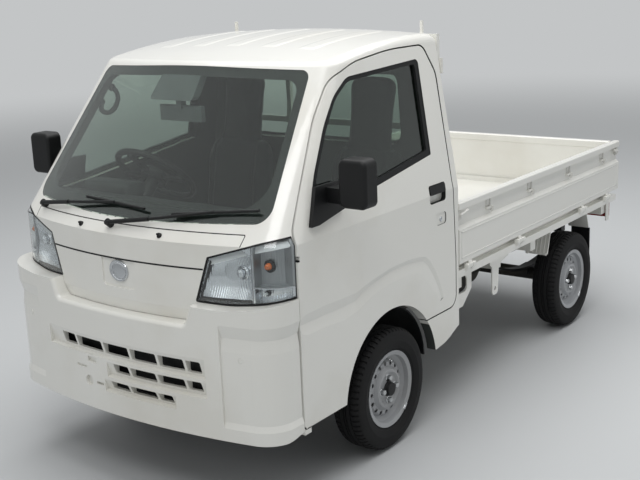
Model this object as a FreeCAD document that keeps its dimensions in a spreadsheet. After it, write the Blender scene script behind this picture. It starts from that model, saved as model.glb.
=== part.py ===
import FreeCAD, Part
import math
import os
import Sketcher
from FreeCAD import Placement, Rotation, Vector

# Small cab-over pickup truck. The front faces -Y, the truck's left side is +X and the ground is Z = 0.
# Lengthwise places are stations: millimetres behind the front axle.

DIMENSIONS = {
    # whole truck
    "front_overhang": 880,
    "wheelbase": 1900,
    "rear_overhang": 615,
    "body_width": 1475,
    # wheels
    "tyre_radius": 267,
    "tyre_width": 145,
    "rim_seat_radius": 152.4,
    "rim_flange": 15,
    "rim_width": 102,
    "rim_sheet": 4,
    "disc_offset": 40,
    "vent_holes": 16,
    "vent_circle_radius": 109,
    "vent_radius": 9.5,
    "stud_circle_radius": 50,
    "nut_radius": 10.5,
    "nut_height": 15,
    "centre_bore_radius": 30,
    "spindle_radius": 18,
    "front_track": 1305,
    "rear_track": 1300,
    # cab shell
    "cab_back": 549,
    "sill_height": 325,
    "belt_height": 1050,
    "roof_height": 1752,
    "roof_apex": 420,
    "roof_length_radius": 3500,
    "roof_crown_radius": 7800,
    "tumblehome": 0.17,
    "screen_rake": 0.81,
    "front_face": 836,
    "front_bow_radius": 2000,
    "front_corner_radius": 140,
    "pillar_corner_radius": 90,
    "wall": 45,
    "front_wall": 60,
    "roof_wall": 32,
    "bulkhead": 18,
    "glass": 5,
    # doors
    "door_gap": 6,
    "door_flange": 8,
    "skin_depth": 14,
    "door_front": 632,
    "door_rear": 510,
    "door_axis_x": 729,
    "door_axis_station": 616,
    "upper_pivot_height": 1000,
    "pivot_radius": 4,
    "pivot_clearance": 0.3,
    "arch_centre": 12,
    "arch_height": 283,
    "arch_radius": 352,
    # bumper
    "bumper_corner_radius": 130,
    "bumper_bow_radius": 3000,
    "bumper_wall": 18,
    "bumper_bottom": 308,
    "bumper_rear": 640,
    # cabin
    "floor_sheet": 16,
    "seat_deck_height": 690,
    "seat_deck_front": 400,
    "seat_x": 375,
    "seat_width": 470,
    "steering_x": 350,
    "steering_radius": 182,
    "column_angle": 48,
    # bed
    "bed_front": 568,
    "bed_floor_height": 662,
    "bed_floor_sheet": 14,
    "gate_bottom": 680,
    "gate_top": 968,
    "gate_thickness": 34,
    "gate_gap": 6,
    "gate_axis_height": 658,
    "gate_inset": 8,
    "gate_axis_out": 2,
    "gate_barrel": 7,
    "gate_pin_radius": 5,
    "rail_drop": 14,
    # steering knuckles
    "king_x": 590,
    "king_height": 185,
    "king_lean": 0.149,
    # ladder frame
    "rail_x": 345,
    "rail_width": 50,
    "rail_height": 95,
    "rail_front_bottom": 325,
    "rail_rear_bottom": 445,
}

doc = FreeCAD.newDocument("kei_truck")
sheet = doc.addObject("Spreadsheet::Sheet", "Sizes")
for row, (alias, value) in enumerate(DIMENSIONS.items(), start=1):
    sheet.set("A%d" % row, alias)
    sheet.set("B%d" % row, str(value))
    sheet.setAlias("B%d" % row, alias)
doc.recompute()


class Size:
    """A number that also knows the sheet expression it comes from."""

    def __init__(self, value, text):
        self.value = float(value)
        self.text = text

    def joined(self, other, sign, result):
        return Size(result, "(%s %s %s)" % (self.text, sign, as_size(other).text))

    def __add__(self, other):
        return self.joined(other, "+", self.value + as_size(other).value)

    def __sub__(self, other):
        return self.joined(other, "-", self.value - as_size(other).value)

    def __mul__(self, other):
        return self.joined(other, "*", self.value * as_size(other).value)

    def __truediv__(self, other):
        return self.joined(other, "/", self.value / as_size(other).value)

    def __radd__(self, other):
        return as_size(other) + self

    def __rsub__(self, other):
        return as_size(other) - self

    def __rmul__(self, other):
        return as_size(other) * self

    def __neg__(self):
        return Size(-self.value, "(0 - %s)" % self.text)

    def __float__(self):
        return self.value


def as_size(number):
    return number if isinstance(number, Size) else Size(number, repr(float(number)))


class Sizes:
    """Every driving dimension under its own name."""


d = Sizes()
for alias in DIMENSIONS:
    setattr(d, alias, Size(sheet.get(alias), "Sizes." + alias))

half_width = d.body_width / 2
front_axle = (d.front_overhang - d.wheelbase - d.rear_overhang) / 2
axle_height = d.tyre_radius
pieces = []


def number(value):
    return float(value)


def bind(item, name, size):
    item.setExpression(name, as_size(size).text)


def origin_plane(owner, role):
    return [item for item in owner.Origin.OriginFeatures if item.Role == role][0]


def new_body(label, x=0, station=0, z=0):
    """A body whose own origin lies at the given place of the truck."""
    owner = doc.addObject("PartDesign::Body", label)
    owner.Label = label
    bind(owner, "Placement.Base.x", x)
    bind(owner, "Placement.Base.y", front_axle + station)
    bind(owner, "Placement.Base.z", z)
    return owner


PLANES = {"plan": "XY_Plane", "front": "XZ_Plane", "side": "YZ_Plane"}
DOWN = {"plan": 1, "front": -1, "side": 1}


class Circle:
    def __init__(self, x, y, radius):
        self.x = x
        self.y = y
        self.radius = radius


class Bend:
    """A corner of an outline from which an arc of the given radius runs to the next corner.
    A positive radius keeps the arc's centre on the left of the way to that corner."""

    def __init__(self, x, y, radius):
        self.x = x
        self.y = y
        self.radius = radius


def arc_between(start, end, radius):
    """Centre and angles, counterclockwise, of the short arc from start to end."""
    r = abs(radius)
    middle = (start + end) / 2
    half = (end - start).Length / 2
    rise = math.sqrt(max(r * r - half * half, 0.0))
    across = Vector(start.y - end.y, end.x - start.x, 0).normalize()
    centre = middle + across * (rise if radius > 0 else -rise)
    first, last = (start, end) if radius > 0 else (end, start)
    a0 = math.atan2(first.y - centre.y, first.x - centre.x)
    a1 = math.atan2(last.y - centre.y, last.x - centre.x)
    if a1 < a0:
        a1 += 2 * math.pi
    return centre, a0, a1


def add_outline(drawing, corners):
    places = []
    for corner in corners:
        if isinstance(corner, Bend):
            places.append(Vector(number(corner.x), number(corner.y), 0))
        else:
            places.append(Vector(number(corner[0]), number(corner[1]), 0))
    ends = []
    for index, corner in enumerate(corners):
        start = places[index]
        end = places[(index + 1) % len(places)]
        if isinstance(corner, Bend):
            centre, a0, a1 = arc_between(start, end, number(corner.radius))
            circle = Part.Circle(centre, Vector(0, 0, 1), abs(number(corner.radius)))
            edge = drawing.addGeometry(Part.ArcOfCircle(circle, a0, a1), False)
            ends.append((edge, 1, 2) if number(corner.radius) > 0 else (edge, 2, 1))
        else:
            edge = drawing.addGeometry(Part.LineSegment(start, end), False)
            ends.append((edge, 1, 2))
    for index, corner in enumerate(corners):
        edge, first, last = ends[index]
        follower = ends[(index + 1) % len(ends)]
        drawing.addConstraint(Sketcher.Constraint("Coincident", edge, last, follower[0], follower[1]))
        x, y = (corner.x, corner.y) if isinstance(corner, Bend) else corner
        for kind, size in (("DistanceX", x), ("DistanceY", y)):
            rule = Sketcher.Constraint(kind, -1, 1, edge, first, number(size))
            bind(drawing, "Constraints[%d]" % drawing.addConstraint(rule), size)
        if isinstance(corner, Bend):
            rule = Sketcher.Constraint("Radius", edge, abs(number(corner.radius)))
            radius = corner.radius if number(corner.radius) > 0 else as_size(0) - corner.radius
            bind(drawing, "Constraints[%d]" % drawing.addConstraint(rule), radius)


def add_circle(drawing, ring):
    centre = Vector(number(ring.x), number(ring.y), 0)
    edge = drawing.addGeometry(Part.Circle(centre, Vector(0, 0, 1), number(ring.radius)), False)
    rules = (
        (Sketcher.Constraint("DistanceX", -1, 1, edge, 3, centre.x), ring.x),
        (Sketcher.Constraint("DistanceY", -1, 1, edge, 3, centre.y), ring.y),
        (Sketcher.Constraint("Radius", edge, number(ring.radius)), ring.radius),
    )
    for rule, size in rules:
        bind(drawing, "Constraints[%d]" % drawing.addConstraint(rule), size)


def sketch(owner, view, place, *outlines):
    """A sketch in plan (x, y), front (x, z) or side (y, z) view, at that place on the third axis."""
    drawing = owner.newObject("Sketcher::SketchObject", owner.Label + "_sketch")
    drawing.AttachmentSupport = [(origin_plane(owner, PLANES[view]), "")]
    drawing.MapMode = "FlatFace"
    bind(drawing, "AttachmentOffset.Base.z", as_size(place) * DOWN[view])
    drawing.addProperty("App::PropertyString", "View")
    drawing.View = view
    for outline in outlines:
        if isinstance(outline, Circle):
            add_circle(drawing, outline)
        else:
            add_outline(drawing, outline)
    return drawing


def pad(owner, drawing, length, towards=1):
    """Adds the sketch's area over a length, towards + or - of its third axis, or 0 for both ways."""
    feature = owner.newObject("PartDesign::Pad", owner.Label + "_pad")
    feature.Profile = drawing
    bind(feature, "Length", length)
    if towards == 0:
        feature.Midplane = True
    else:
        feature.Reversed = towards * DOWN[drawing.View] < 0
    drawing.Visibility = False
    return feature


def cut(owner, drawing, length=None, towards=1):
    """Removes the sketch's area, right through both ways when no length is given."""
    feature = owner.newObject("PartDesign::Pocket", owner.Label + "_cut")
    feature.Profile = drawing
    if length is None:
        feature.Type = "ThroughAll"
        feature.Midplane = True
    else:
        bind(feature, "Length", length)
        feature.Reversed = towards * DOWN[drawing.View] > 0
    return feature


def turn(owner, drawing, axis, angle=360):
    feature = owner.newObject("PartDesign::Revolution", owner.Label + "_turn")
    feature.Profile = drawing
    feature.ReferenceAxis = (drawing, [axis])
    feature.Angle = angle
    return feature


def ring_of(owner, feature, drawing, count):
    pattern = owner.newObject("PartDesign::PolarPattern", owner.Label + "_ring")
    pattern.Originals = [feature]
    pattern.Axis = (drawing, ["N_Axis"])
    pattern.Angle = 360
    bind(pattern, "Occurrences", count)
    owner.Tip = pattern
    return pattern


def rounded(owner, radius, chosen):
    """Fillets the edges of the body's tip whose middle point passes the test."""
    doc.recompute()
    tip = owner.Tip
    names = []
    for index, edge in enumerate(tip.Shape.Edges, start=1):
        middle = edge.valueAt((edge.FirstParameter + edge.LastParameter) / 2)
        if chosen(middle, edge):
            names.append("Edge%d" % index)
    feature = owner.newObject("PartDesign::Fillet", owner.Label + "_round")
    feature.Base = (tip, names)
    bind(feature, "Radius", radius)
    return feature


def keep(item, label):
    item.Label = label
    pieces.append(item)
    return item


def solid_piece(label, shape):
    """A piece whose shape is worked out from the sizes, in stations."""
    item = doc.addObject("Part::Feature", label)
    item.Shape = shape
    bind(item, "Placement.Base.y", front_axle)
    return keep(item, label)


def mirrored(label, source):
    item = doc.addObject("Part::Mirroring", label)
    item.Source = source
    item.Normal = Vector(1, 0, 0)
    return keep(item, label)


def both_sides(label, *lefts):
    """One piece made of left parts and their mirror images."""
    links = []
    for left in lefts:
        right = doc.addObject("Part::Mirroring", label + "_mirror")
        right.Source = left
        right.Normal = Vector(1, 0, 0)
        links += [left, right]
    item = doc.addObject("Part::Compound", label)
    item.Links = links
    return keep(item, label)


def rectangle(x0, y0, x1, y1):
    return [(x0, y0), (x1, y0), (x1, y1), (x0, y1)]


def soft_rectangle(x0, y0, x1, y1, r):
    """A rectangle with round corners."""
    return [
        (x0 + r, y0),
        Bend(x1 - r, y0, r),
        (x1, y0 + r),
        Bend(x1, y1 - r, r),
        (x1 - r, y1),
        Bend(x0 + r, y1, r),
        (x0, y1 - r),
        Bend(x0, y0 + r, r),
    ]


def block(x0, x1, y0, y1, z0, z1):
    low = Vector(number(x0), number(y0), number(z0))
    return Part.makeBox(number(x1) - low.x, number(y1) - low.y, number(z1) - low.z, low)


def rounded_wire(corners, place):
    """A closed wire through (u, v, corner radius), lifted into space by place(u, v)."""
    edges = []
    tangents = []
    count = len(corners)
    flat = [Vector(number(u), number(v), 0) for u, v, _ in corners]
    for index, (_, _, radius) in enumerate(corners):
        here = flat[index]
        before = (flat[index - 1] - here).normalize()
        after = (flat[(index + 1) % count] - here).normalize()
        if number(radius) <= 0:
            tangents.append((here, None, here))
            continue
        half = before.getAngle(after) / 2
        run = number(radius) / math.tan(half)
        bisector = (before + after).normalize()
        middle = here + bisector * (number(radius) / math.sin(half) - number(radius))
        tangents.append((here + before * run, middle, here + after * run))
    for index, (start, middle, end) in enumerate(tangents):
        if middle is not None:
            edges.append(Part.Arc(place(start), place(middle), place(end)).toShape())
        follower = tangents[(index + 1) % count][0]
        if (follower - end).Length > 1e-6:
            edges.append(Part.makeLine(place(end), place(follower)))
    return Part.Wire(edges)


def side_place(x):
    return lambda p: Vector(x, p.x, p.y)


def front_place(station):
    return lambda p: Vector(p.x, station, p.y)


def side_prism(corners, x0, x1, slant=0.0, gap=0.0):
    """A prism across the truck. With a slant it moves forward as it goes inward."""
    wire = rounded_wire(corners, side_place(x1))
    if gap:
        wire = wire.makeOffset2D(gap)
    return Part.Face(wire).extrude(Vector(x0 - x1, -slant * abs(x0 - x1), 0))


def front_prism(corners, y0, y1, gap=0.0):
    wire = rounded_wire(corners, front_place(y0))
    if gap:
        wire = wire.makeOffset2D(gap)
    return Part.Face(wire).extrude(Vector(0, y1 - y0, 0))


def cab_plan(z, half, nose, bow, corner, back):
    """Plan section of the cab: bowed front, round corners, straight sides and back."""
    rise = math.sqrt((bow - corner) ** 2 - (half - corner) ** 2)
    corner_y = nose + bow - rise
    reach = bow / (bow - corner)
    touch = Vector((half - corner) * reach, nose + bow - rise * reach, z)
    side = Vector(half, corner_y, z)
    turn_by = math.atan2(touch.y - corner_y, touch.x - (half - corner)) / 2
    bend = Vector(half - corner + corner * math.cos(turn_by), corner_y + corner * math.sin(turn_by), z)
    left = [
        Part.makeLine(Vector(half, back, z), side),
        Part.Arc(side, bend, touch).toShape(),
    ]
    right = [
        Part.Arc(flipped(touch), flipped(bend), flipped(side)).toShape(),
        Part.makeLine(flipped(side), Vector(-half, back, z)),
    ]
    bow_edge = Part.Arc(touch, Vector(0, nose, z), flipped(touch)).toShape()
    closing = Part.makeLine(Vector(-half, back, z), Vector(half, back, z))
    return Part.Wire(left + [bow_edge] + right + [closing])


def flipped(point):
    return Vector(-point.x, point.y, point.z)


def cab_block(side_in, front_in, roof_in, back_in, bottom):
    """The cab as a full solid, drawn in by wall thicknesses."""
    half = number(half_width) - side_in
    belt = number(d.belt_height)
    top = number(d.roof_height) + 60
    bow = number(d.front_bow_radius) - front_in
    corner = max(number(d.front_corner_radius) - max(side_in, front_in), 20)
    pillar = max(number(d.pillar_corner_radius) - max(side_in, front_in), 15)
    back = number(d.cab_back) - back_in
    nose = -number(d.front_face) + front_in
    lean = number(d.tumblehome) * (top - belt)
    rake = number(d.screen_rake) * (top - belt)
    middle = cab_plan(belt, half, nose, bow, corner, back)
    upper = cab_plan(top, half - lean, nose + rake, bow, pillar, back)
    lower = Part.Face(middle).extrude(Vector(0, 0, bottom - belt))
    whole = lower.fuse(Part.makeLoft([middle, upper], True, True)).removeSplitter()
    return whole.common(roof_tool(roof_in))


def face_plan(z, inset):
    """Plan section of the upright front face below the belt, drawn in by an amount."""
    bow = number(d.front_bow_radius) - inset
    corner = number(d.front_corner_radius) - inset
    nose = inset - number(d.front_face)
    return cab_plan(z, number(half_width) - inset, nose, bow, corner, -number(d.seat_deck_front))


def wall_loss(plan, levels):
    """What lies outside a wall that is drawn in by a different amount at each level."""
    high, low = levels[0][0], levels[-1][0]
    kept = Part.makeLoft([plan(z, inset) for z, inset in levels], True, True)
    return Part.Face(plan(low, -2)).extrude(Vector(0, 0, high - low)).cut(kept)


def roof_tool(roof_in):
    """A body of revolution whose top is the doubly curved roof."""
    radius = number(d.roof_length_radius)
    crown = number(d.roof_crown_radius)
    apex = Vector(0, number(d.roof_apex), number(d.roof_height) - roof_in)
    reach = number(half_width) + 100
    drop = crown - math.sqrt(crown ** 2 - reach ** 2)
    hub = apex.z - radius
    low = hub + radius * 0.5
    corner_left = Vector(reach, apex.y, apex.z - drop)
    corner_right = flipped(corner_left)
    foot_left = Vector(reach, apex.y, low)
    arc = Part.Arc(corner_left, apex, corner_right).toShape()
    wire = Part.Wire([
        arc,
        Part.makeLine(corner_right, flipped(foot_left)),
        Part.makeLine(flipped(foot_left), foot_left),
        Part.makeLine(foot_left, corner_left),
    ])
    face = Part.Face(wire)
    face.rotate(Vector(0, apex.y, hub), Vector(1, 0, 0), 40)
    return face.revolve(Vector(0, apex.y, hub), Vector(1, 0, 0), -50)


def picked(shape, chosen):
    found = []
    for edge in shape.Edges:
        middle = edge.valueAt((edge.FirstParameter + edge.LastParameter) / 2)
        if chosen(middle):
            found.append(edge)
    return found


# Cab shell and its panels

wall = number(d.wall)
front_wall = number(d.front_wall)
sill = number(d.sill_height)
back = number(d.cab_back)
gap = number(d.door_gap)
seat_gap = 0.3
OVER = 25
inner_floor = 200


def mirror_of(shape):
    return shape.mirror(Vector(0, 0, 0), Vector(1, 0, 0))


outer_sharp = cab_block(0, 0, 0, 0, sill)
outer = outer_sharp.makeFillet(45, picked(outer_sharp, lambda p: p.z > 1560 and p.y > 0))
inner = cab_block(wall, front_wall + number(d.bulkhead), number(d.roof_wall), wall, inner_floor)
shell = outer.cut(inner)
front_skin = outer.cut(cab_block(wall, front_wall, -OVER, -OVER, inner_floor))
side_core = cab_block(wall, -OVER, -OVER, -OVER, inner_floor)
side_clear = cab_block(wall + gap, -OVER, -OVER, -OVER, inner_floor)


def door_outline(front_play, rear_play):
    """Side view of a door, its wheel arch apart, with room for the edges that swing past the frame."""
    front = -number(d.door_front) - front_play
    rear = number(d.door_rear)
    return [
        (front, sill + 6, 14),
        (front, 1086, 90),
        (-553, 1206, 900),
        (-375, 1465, 900),
        (-255, 1606, 160),
        (-90, 1656, 500),
        (170, 1683, 1500),
        (430 + rear_play, 1683, 60),
        (rear - 6 + rear_play, 1560, 100),
        (rear - 10, 1080, 400),
        (rear + 12, 720, 400),
        (rear + 12, 505, 52),
        (150, 505, 0),
        (150, sill + 6, 0),
    ]


DOOR = door_outline(0, 0)
DOOR_WINDOW = [
    (-545, 1112, 12),
    (-474, 1262, 500),
    (-351, 1443, 500),
    (-262, 1545, 200),
    (-160, 1606, 110),
    (380, 1631, 22),
    (365, 1222, 12),
    (-330, 1130, 200),
]
door_prism = side_prism(DOOR, 560, 760)
door_opening = side_prism(door_outline(2, 4), 560, 760, 0, gap).cut(side_clear)
behind_skin = cab_block(number(d.skin_depth), -OVER, -OVER, -OVER, inner_floor)
inner_panel = side_prism(DOOR, 560, 760, 0, -number(d.door_flange))
door_rebate = door_prism.cut(inner_panel).common(behind_skin)
arch_spot = Vector(480, -number(d.arch_centre), number(d.arch_height))
arch_tool = Part.makeCylinder(number(d.arch_radius), 300, arch_spot, Vector(1, 0, 0))
door_window = side_prism(DOOR_WINDOW, 560, 760)
PIVOT_REACH = 30
PIVOT_EYE = 5.5
BRACKET = 10
hinge_x = number(d.door_axis_x)
hinge_y = -number(d.door_axis_station)
upper_pivot = number(d.upper_pivot_height)


def door_pivot(radius, low, high):
    """A round bar along the door's axis."""
    return Part.makeCylinder(radius, high - low, Vector(hinge_x, hinge_y, low))


# Upper edge, valley, lower edge and depth of the door's pressed crease, in side view from the front
CREASE = [
    ((-660, 783), (-660, 739), (-660, 690), 9),
    ((-480, 787), (-476, 739), (-482, 687), 9),
    ((-362, 783), (-362, 736), (-352, 676), 8.5),
    ((-265, 781), (-272, 738), (-262, 690), 8),
    ((-206, 792), (-208, 764), (-204, 706), 7),
    ((-155, 799), (-156, 776), (-156, 722), 7),
    ((-23, 815), (-24, 794), (-26, 738), 7),
    ((115, 817), (113, 794), (108, 738), 7),
    ((205, 808), (194, 787), (176, 732), 7),
    ((262, 797), (248, 774), (214, 715), 7),
    ((304, 766), (286, 748), (250, 688), 6.5),
    ((350, 706), (330, 692), (288, 646), 6),
    ((388, 642), (370, 630), (332, 600), 5),
    ((415, 572), (398, 566), (368, 556), 3),
]


def crease_section(upper, valley, lower, depth):
    outside = number(half_width) + 1.5
    deep = number(half_width) - depth
    corners = [Vector(outside, *upper), Vector(deep, *valley), Vector(outside, *lower)]
    return Part.makePolygon(corners + corners[:1])


crease = Part.makeLoft([crease_section(*row) for row in CREASE], True, True)
HANDLE = [(303, 1012, 16), (438, 1012, 16), (438, 1094, 10), (303, 1094, 10)]
HANDLE_BACK = 716
LOCK = [(352, 908, 18), (440, 908, 18), (440, 962, 18), (352, 962, 18)]
GRIP = [(306, 1052, 6), (435, 1052, 6), (435, 1091, 8), (306, 1091, 8)]
pin = number(d.pivot_radius)
socket = pin + number(d.pivot_clearance)
door_shape = outer.common(door_prism).cut(side_core).cut(door_rebate).cut(arch_tool).cut(door_window)
bracket_room = block(640, hinge_x + PIVOT_EYE + 0.8, -700, hinge_y + 12, upper_pivot - 16, upper_pivot + 6)
for space in (
    bracket_room,
    door_pivot(socket, sill, sill + PIVOT_REACH + 2),
    door_pivot(socket, upper_pivot, upper_pivot + PIVOT_REACH + 2),
    crease,
    side_prism(HANDLE, HANDLE_BACK, 760),
    side_prism(LOCK, number(half_width) - 4, 760),
):
    door_shape = door_shape.cut(space)
door_left = solid_piece("door_left", door_shape)
mirrored("door_right", door_left)
grip = side_prism(GRIP, HANDLE_BACK + seat_gap, 760).common(cab_block(-4, -OVER, -OVER, -OVER, inner_floor))
mirrored("handle_right", solid_piece("handle_left", grip))

glass_out = 14
glass_core = cab_block(glass_out + number(d.glass), -OVER, -OVER, -OVER, inner_floor)
glass_shape = cab_block(glass_out, 0, 0, 0, inner_floor).cut(glass_core)
door_glass_left = solid_piece("door_glass_left", glass_shape.common(door_window))
mirrored("door_glass_right", door_glass_left)

SCREEN = [
    (-640, 1124, 50),
    (0, 1104, 6000),
    (640, 1124, 50),
    (560, 1641, 42),
    (0, 1658, 6000),
    (-560, 1641, 42),
]
screen_prism = front_prism(SCREEN, -900, -150)
screen_skin = outer.cut(cab_block(number(d.glass), number(d.glass), 0, 0, inner_floor))
solid_piece("windshield", screen_skin.common(screen_prism))

REAR_WINDOW = [(-470, 1225, 60), (470, 1225, 60), (450, 1560, 60), (-450, 1560, 60)]
rear_prism = front_prism(REAR_WINDOW, 420, 620)
solid_piece("rear_window", rear_prism.common(block(-600, 600, back - 20, back - 15, 1000, 1700)))

roof_zone = block(-545, 545, -262, back - 75, 1640, 1800)
solid_piece("roof_panel", shell.common(roof_zone))
back_zone = block(-590, 590, back - wall, back + 5, 700, 1640)
solid_piece("back_panel", shell.common(back_zone).cut(rear_prism))

LAMP = [
    (372, 827, 6),
    (520, 822, 600),
    (640, 833, 600),
    (790, 862, 0),
    (790, 1100, 0),
    (640, 1067, 600),
    (432, 1004, 6),
]
lamp_rear = -number(d.bumper_rear)
lamp_prism = front_prism(LAMP, -900, lamp_rear)
lamp_both = lamp_prism.fuse(mirror_of(lamp_prism))
lamp_shape = front_skin.common(lamp_prism)
lens_depth = 8
gasket_width = 7
lamp_edge = 8
lens_wire = rounded_wire(LAMP, front_place(-900)).makeOffset2D(-gasket_width)
lens_area = Part.Face(lens_wire).extrude(Vector(0, 900 + lamp_rear, 0))
lens_core = cab_block(lens_depth, lens_depth, -OVER, -OVER, inner_floor)
bowl_core = cab_block(36, 46, -OVER, -OVER, inner_floor)
bowl_wire = rounded_wire(LAMP, front_place(-900)).makeOffset2D(-lamp_edge)
bowl = Part.Face(bowl_wire).extrude(Vector(0, 900 + lamp_rear - lamp_edge, 0))
bowl = bowl.common(lens_core).cut(bowl_core)
bowl = bowl.cut(block(600, 611, -900, lamp_rear, 800, 1110)).cut(block(611, 800, -900, lamp_rear, 893, 900))


def placed_source(name, shape):
    """A shape in stations that another object draws on."""
    item = doc.addObject("Part::Feature", name)
    item.Shape = shape
    bind(item, "Placement.Base.y", front_axle)
    return item


lamp_cover = lamp_shape.cut(lens_core)
both_sides("headlamp_lenses", placed_source("lens_left", lamp_cover.common(lens_area)))
both_sides("headlamp_gaskets", placed_source("gasket_left", lamp_cover.cut(lens_area)))
both_sides("headlamp_bodies", placed_source("lamp_left", lamp_shape.common(lens_core).cut(bowl)))

HOOD = [(-559, 957, 4), (559, 957, 4), (571, 1090, 6), (-571, 1090, 6)]
hood_prism = front_prism(HOOD, -900, -640)
solid_piece("cowl_panel", front_skin.common(hood_prism).cut(lamp_both))
GARNISH = [
    (-352, 748, 22),
    (352, 748, 22),
    (376, 812, 0),
    (384, 830, 0),
    (480, 953, 0),
    (-480, 953, 0),
    (-384, 830, 0),
    (-376, 812, 0),
]
garnish_prism = front_prism(GARNISH, -900, -640)
GARNISH_BEVEL = [(794, 0), (740, 13)]
EMBLEM = [(-92, 838, 18), (92, 838, 18), (92, 990, 18), (-92, 990, 18)]
emblem_pocket = front_prism(EMBLEM, -900, -number(d.front_face) + 8)
garnish_shape = front_skin.common(garnish_prism).cut(lamp_both).cut(emblem_pocket)
solid_piece("front_garnish", garnish_shape.cut(wall_loss(face_plan, GARNISH_BEVEL)))
behind_bumper = front_skin.common(block(-800, 800, -950, lamp_rear, inner_floor, 862))
frame_shape = shell.cut(behind_bumper).cut(lamp_both.common(front_skin))
front_panels = hood_prism.fuse(garnish_prism).common(front_skin)
for panel in (front_panels, screen_prism, roof_zone, back_zone):
    frame_shape = frame_shape.cut(panel)
for space in (door_opening, arch_tool):
    frame_shape = frame_shape.cut(space).cut(mirror_of(space))
frame_front = number(d.rail_front_bottom + d.rail_height) + seat_gap
rail_reach = number(d.rail_x + d.rail_width / 2) + 12
deck_low = number(d.seat_deck_height - d.floor_sheet)
frame_shape = frame_shape.cut(block(-rail_reach, rail_reach, -900, -600, inner_floor, frame_front))
frame_shape = frame_shape.cut(block(-640, 640, back - wall - 1, back + 5, inner_floor, deck_low - 14))
ROCKER = [(190, 300, 0), (190, 326, 0), (433, 353, 300), (533, 394, 60), (570, 404, 0), (570, 300, 0)]
frame_shape = frame_shape.cut(side_prism(ROCKER, -800, 800))
post_out = number(half_width) - wall - gap - 4
post = block(post_out - 50, post_out, -745, -572, sill - 20, 1112)
post = post.common(cab_block(wall, front_wall + 2, 10, 10, sill - 30))
foot = block(post_out - 50, number(half_width) - 3, -634, -594, sill - 20, sill)
bracket_low = upper_pivot - BRACKET
bracket = block(post_out - 10, hinge_x, hinge_y - PIVOT_EYE, hinge_y + PIVOT_EYE, bracket_low, upper_pivot)
for add in (
    post,
    foot,
    bracket,
    door_pivot(PIVOT_EYE, upper_pivot - BRACKET, upper_pivot),
    door_pivot(pin, sill - 10, sill + PIVOT_REACH),
    door_pivot(pin, upper_pivot - 5, upper_pivot + PIVOT_REACH),
):
    frame_shape = frame_shape.fuse(add).fuse(mirror_of(add))
cab_frame = solid_piece("cab_frame", frame_shape)

# Bumper

CORNER_CHANNEL = [(766, 0), (716, 14), (664, 8), (384, 8), (360, 0)]
CORNER_AREA = [(508, 350, 26), (800, 350, 0), (800, 780, 0), (508, 780, 26)]
GRILLE_ROWS = [
    # lower edge, upper edge, left end, right end of a row, then its cells' heights and their edges
    (540, 622, -436, 438, 557, 607, (-352, -257, -91, 60, 206, 342, 420)),
    (466, 530, -66, 440, 486, 528, (-36, 59, 203, 345, 424)),
    (400, 452, -86, 294, 416, 450, (-56, 53, 200, 282)),
]
CELL_BAR = 12
GRILLE_DEPTH = 20
grille_wall = 32
closed_above = 715
PLATE_SLOTS = ((-367, -302, 500, 524), (-183, -132, 508, 532), (-256, -196, 477, 488), (-138, -95, 420, 431))


def bumper_plan(z, inset):
    bow = number(d.bumper_bow_radius) - inset
    corner = number(d.bumper_corner_radius) - inset
    nose = inset - number(d.front_overhang)
    return cab_plan(z, number(half_width) - inset, nose, bow, corner, -number(d.bumper_rear))


def bumper_block(inset, low, high):
    return Part.Face(bumper_plan(low, inset)).extrude(Vector(0, 0, high - low))


def front_bumper():
    low = number(d.bumper_bottom)
    shape = bumper_block(0, low, 880)
    thick = block(-470, 500, -950, -700, 385, 635).cut(bumper_block(grille_wall, 300, closed_above))
    hollow = bumper_block(number(d.bumper_wall), low - 5, closed_above).cut(thick)
    shape = shape.cut(hollow).cut(cab_block(wall, front_wall - seat_gap, -OVER, -OVER, inner_floor))
    play = 1.5
    for area in (GARNISH, LAMP):
        room_above = front_prism(area, -950, lamp_rear + 10, play)
        shape = shape.cut(room_above).cut(mirror_of(room_above))
    channel = wall_loss(bumper_plan, CORNER_CHANNEL).common(front_prism(CORNER_AREA, -950, lamp_rear + 10))
    shape = shape.cut(channel).cut(mirror_of(channel))
    shape = shape.cut(side_prism([(-800, 295, 0), (-630, 295, 0), (-630, 327, 0)], -800, 800))
    for low_edge, high_edge, first, last, cell_low, cell_high, edges in GRILLE_ROWS:
        slope = wall_loss(bumper_plan, [(high_edge, 0), (low_edge + 5, GRILLE_DEPTH), (low_edge, 2)])
        shape = shape.cut(slope.common(block(first, last, -950, -700, low_edge - 1, high_edge + 1)))
        for left, right in zip(edges, edges[1:]):
            cell = [(left + CELL_BAR / 2, cell_low, 6), (right - CELL_BAR / 2, cell_low, 6)]
            cell += [(right - CELL_BAR / 2, cell_high, 6), (left + CELL_BAR / 2, cell_high, 6)]
            shape = shape.cut(front_prism(cell, -950, -760))
    for left, right, foot, head in PLATE_SLOTS:
        slot = [(left, foot, 3), (right, foot, 3), (right, head, 3), (left, head, 3)]
        shape = shape.cut(front_prism(slot, -950, -864))
    shape = shape.cut(Part.makeCylinder(22, 90, Vector(-184, -950, 426), Vector(0, 1, 0)))
    return shape


sharp_bumper = front_bumper()
V_EDGE_RADIUS = 16
garnish_rim = picked(sharp_bumper, lambda p: p.y < -850 and 742 < p.z < 840 and abs(p.x) < 376)
solid_piece("front_bumper", sharp_bumper.makeFillet(V_EDGE_RADIUS, garnish_rim))
grille_backing = new_body("grille_backing")
backing = rectangle(-430, d.rail_front_bottom + d.rail_height + 16, 440, 640)
BACKING_FRONT = 810
bulkhead_front = d.front_face - d.front_wall
backing_sketch = sketch(grille_backing, "front", -BACKING_FRONT, backing)
pad(grille_backing, backing_sketch, BACKING_FRONT - bulkhead_front - seat_gap, 1)
keep(grille_backing, "grille_backing")

# Cab floor: footwell, riser and seat deck

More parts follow.
